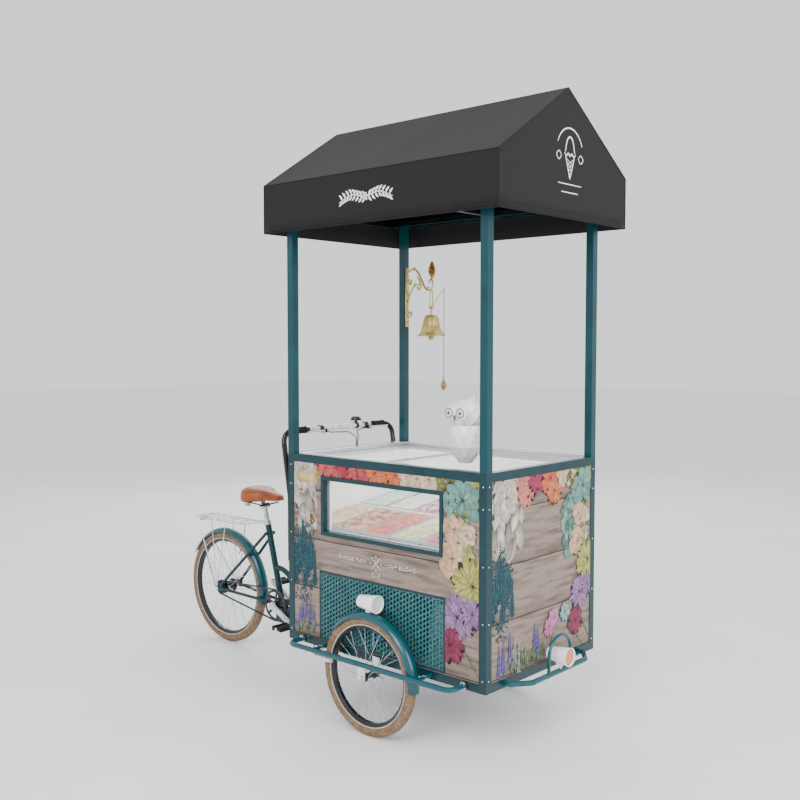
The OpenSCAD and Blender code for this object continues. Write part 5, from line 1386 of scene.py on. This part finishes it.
for s in (-1, 1):
    lyre = [(bell_x, s * 4, 1892), (bell_x + 1, s * 10, 1872), (bell_x, s * 9.5, 1845),
            (bell_x, s * 8.5, pivot_z + 6), (bell_x, s * 8.5, pivot_z - 7)]
    iron.tube([at(x, bell_y + y, z) for x, y, z in spline(lyre, 6)], 0.0026, 8)
    iron.lathe([(0, 0), (6, 0), (6, s * 2), (4, s * 3), (0, s * 3)], at(bell_x, bell_y + s * 11, pivot_z), "Y", 14)
iron.lathe([(0, -12), (3, -12), (3, 12), (0, 12)], at(bell_x, bell_y, pivot_z), "Y", 12)
bracket = iron.make("scroll_bracket", brass, "cart_box", "brass", crease=50)
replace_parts(bracket, "bell_bracket")
cone = Shape()
cone_x, cone_z, cone_h = bell_x + 4, 1944, bracket_high[2] - 1944
cone.lathe([(0, 0), (6, 1), (9, 5), (5, 9), (8, 13)], at(cone_x, bell_y, cone_z), "Z", 16)
for row in range(8):
    t = (row + 0.5) / 8
    r = 15 * math.sin(math.pi * (0.18 + 0.8 * t)) + 2
    z = cone_z + 12 + (cone_h - 18) * t
    for k in range(9):
        a = TAU * (k + 0.5 * (row % 2)) / 9
        inner = at(cone_x + r * 0.5 * math.cos(a), bell_y + r * 0.5 * math.sin(a), z)
        outer = at(cone_x + r * math.cos(a), bell_y + r * math.sin(a), z + 3)
        up = at(cone_x + r * 0.7 * math.cos(a), bell_y + r * 0.7 * math.sin(a), z + 10)
        cone.tube([inner, outer, up], [0.0045, 0.0042, 0.001], 6)
cone.lathe([(0, cone_h - 8), (4, cone_h - 10), (5, cone_h - 5), (0, cone_h)], at(cone_x, bell_y, cone_z), "Z", 12)
cone.make("acorn_finial", old_brass, "cart_box", "brass")

bell_low, bell_high = node_box("shop_bell")
rings = Shape()
bell_r = (bell_high[1] - bell_low[1]) / 2
for up, share, w in ((3, 0.985, 1.6), (12, 0.86, 1.0), (78, 0.555, 1.1), (84, 0.54, 1.0)):
    r, z = bell_r * share, bell_low[2] + up
    turns = [TAU * k / 64 for k in range(64)]
    circle = [at(bell_x + r * math.cos(a), bell_y + r * math.sin(a), z) for a in turns]
    rings.tube(circle, w / 1000, 6, closed=True)
rings.make("bell_bands", old_brass, "bell", "brass")

# Fan guard ring and door pull
bars = Shape()
fan_low, fan_high = node_box("condenser_fan")
fan_c = (fan_low + fan_high) / 2
for r in range(20, 112, 13):
    turns = [TAU * k / 40 for k in range(40)]
    circle = [at(fan_c[0] + r * math.cos(a), fan_low[1] - 6, fan_c[2] + r * math.sin(a)) for a in turns]
    bars.tube(circle, 0.001, 5, closed=True)
bars.make("fan_guard", chrome, "cart_box", "bright_steel")
pull = Shape()
pull_y, pull_z = door_low[1] + 30, (door_low[2] + door_high[2]) / 2
bow = [(1, -45), (-17, -38), (-19, 0), (-17, 38), (1, 45)]
bow = spline([(door_low[0] + out, pull_y, pull_z + up) for out, up in bow], 8)
pull.tube([at(*p) for p in bow], 0.0042, 10)
for z in (pull_z - 45, pull_z + 45):
    pull.lathe([(0, 0), (8, 0), (7, -2.5), (0, -3)], at(door_low[0], pull_y, z), "X", 16)
pull.make("door_pull", chrome, "door", "bright_steel")


# Floor, lights and sky
bpy.ops.mesh.primitive_plane_add(size=60, location=(0, 0, 0))
ground = bpy.context.object
ground.name = "floor"
ground.data.materials.append(floor_paint.mat)


def area_light(name, place, target, size, power, colour=(1, 1, 1)):
    data = bpy.data.lights.new(name, "AREA")
    data.shape = "RECTANGLE"
    data.size, data.size_y = size
    data.energy = power
    data.color = colour
    lamp = bpy.data.objects.new(name, data)
    scene.collection.objects.link(lamp)
    lamp.location = place
    lamp.rotation_euler = (Vector(target) - Vector(place)).to_track_quat("-Z", "Y").to_euler()
    lamp.visible_camera = False
    return lamp


middle = (0.3, 0, 1.2)
area_light("key", (2.4, -5.0, 4.6), middle, (3.2, 3.2), 260)
area_light("fill", (6.0, -0.6, 3.0), middle, (3.5, 3.0), 200)
area_light("back", (-4.0, 4.5, 4.0), middle, (4, 3), 150)
area_light("case", tuple(at(0, 0, 1099)), tuple(at(0, 0, 900)), (0.9, 0.55), 2.5)

world = bpy.data.worlds.new("studio")
scene.world = world
world.use_nodes = True
sky = world.node_tree.nodes["Background"]
sky.inputs["Color"].default_value = (0.95, 0.97, 1.0, 1)
sky.inputs["Strength"].default_value = 1.25
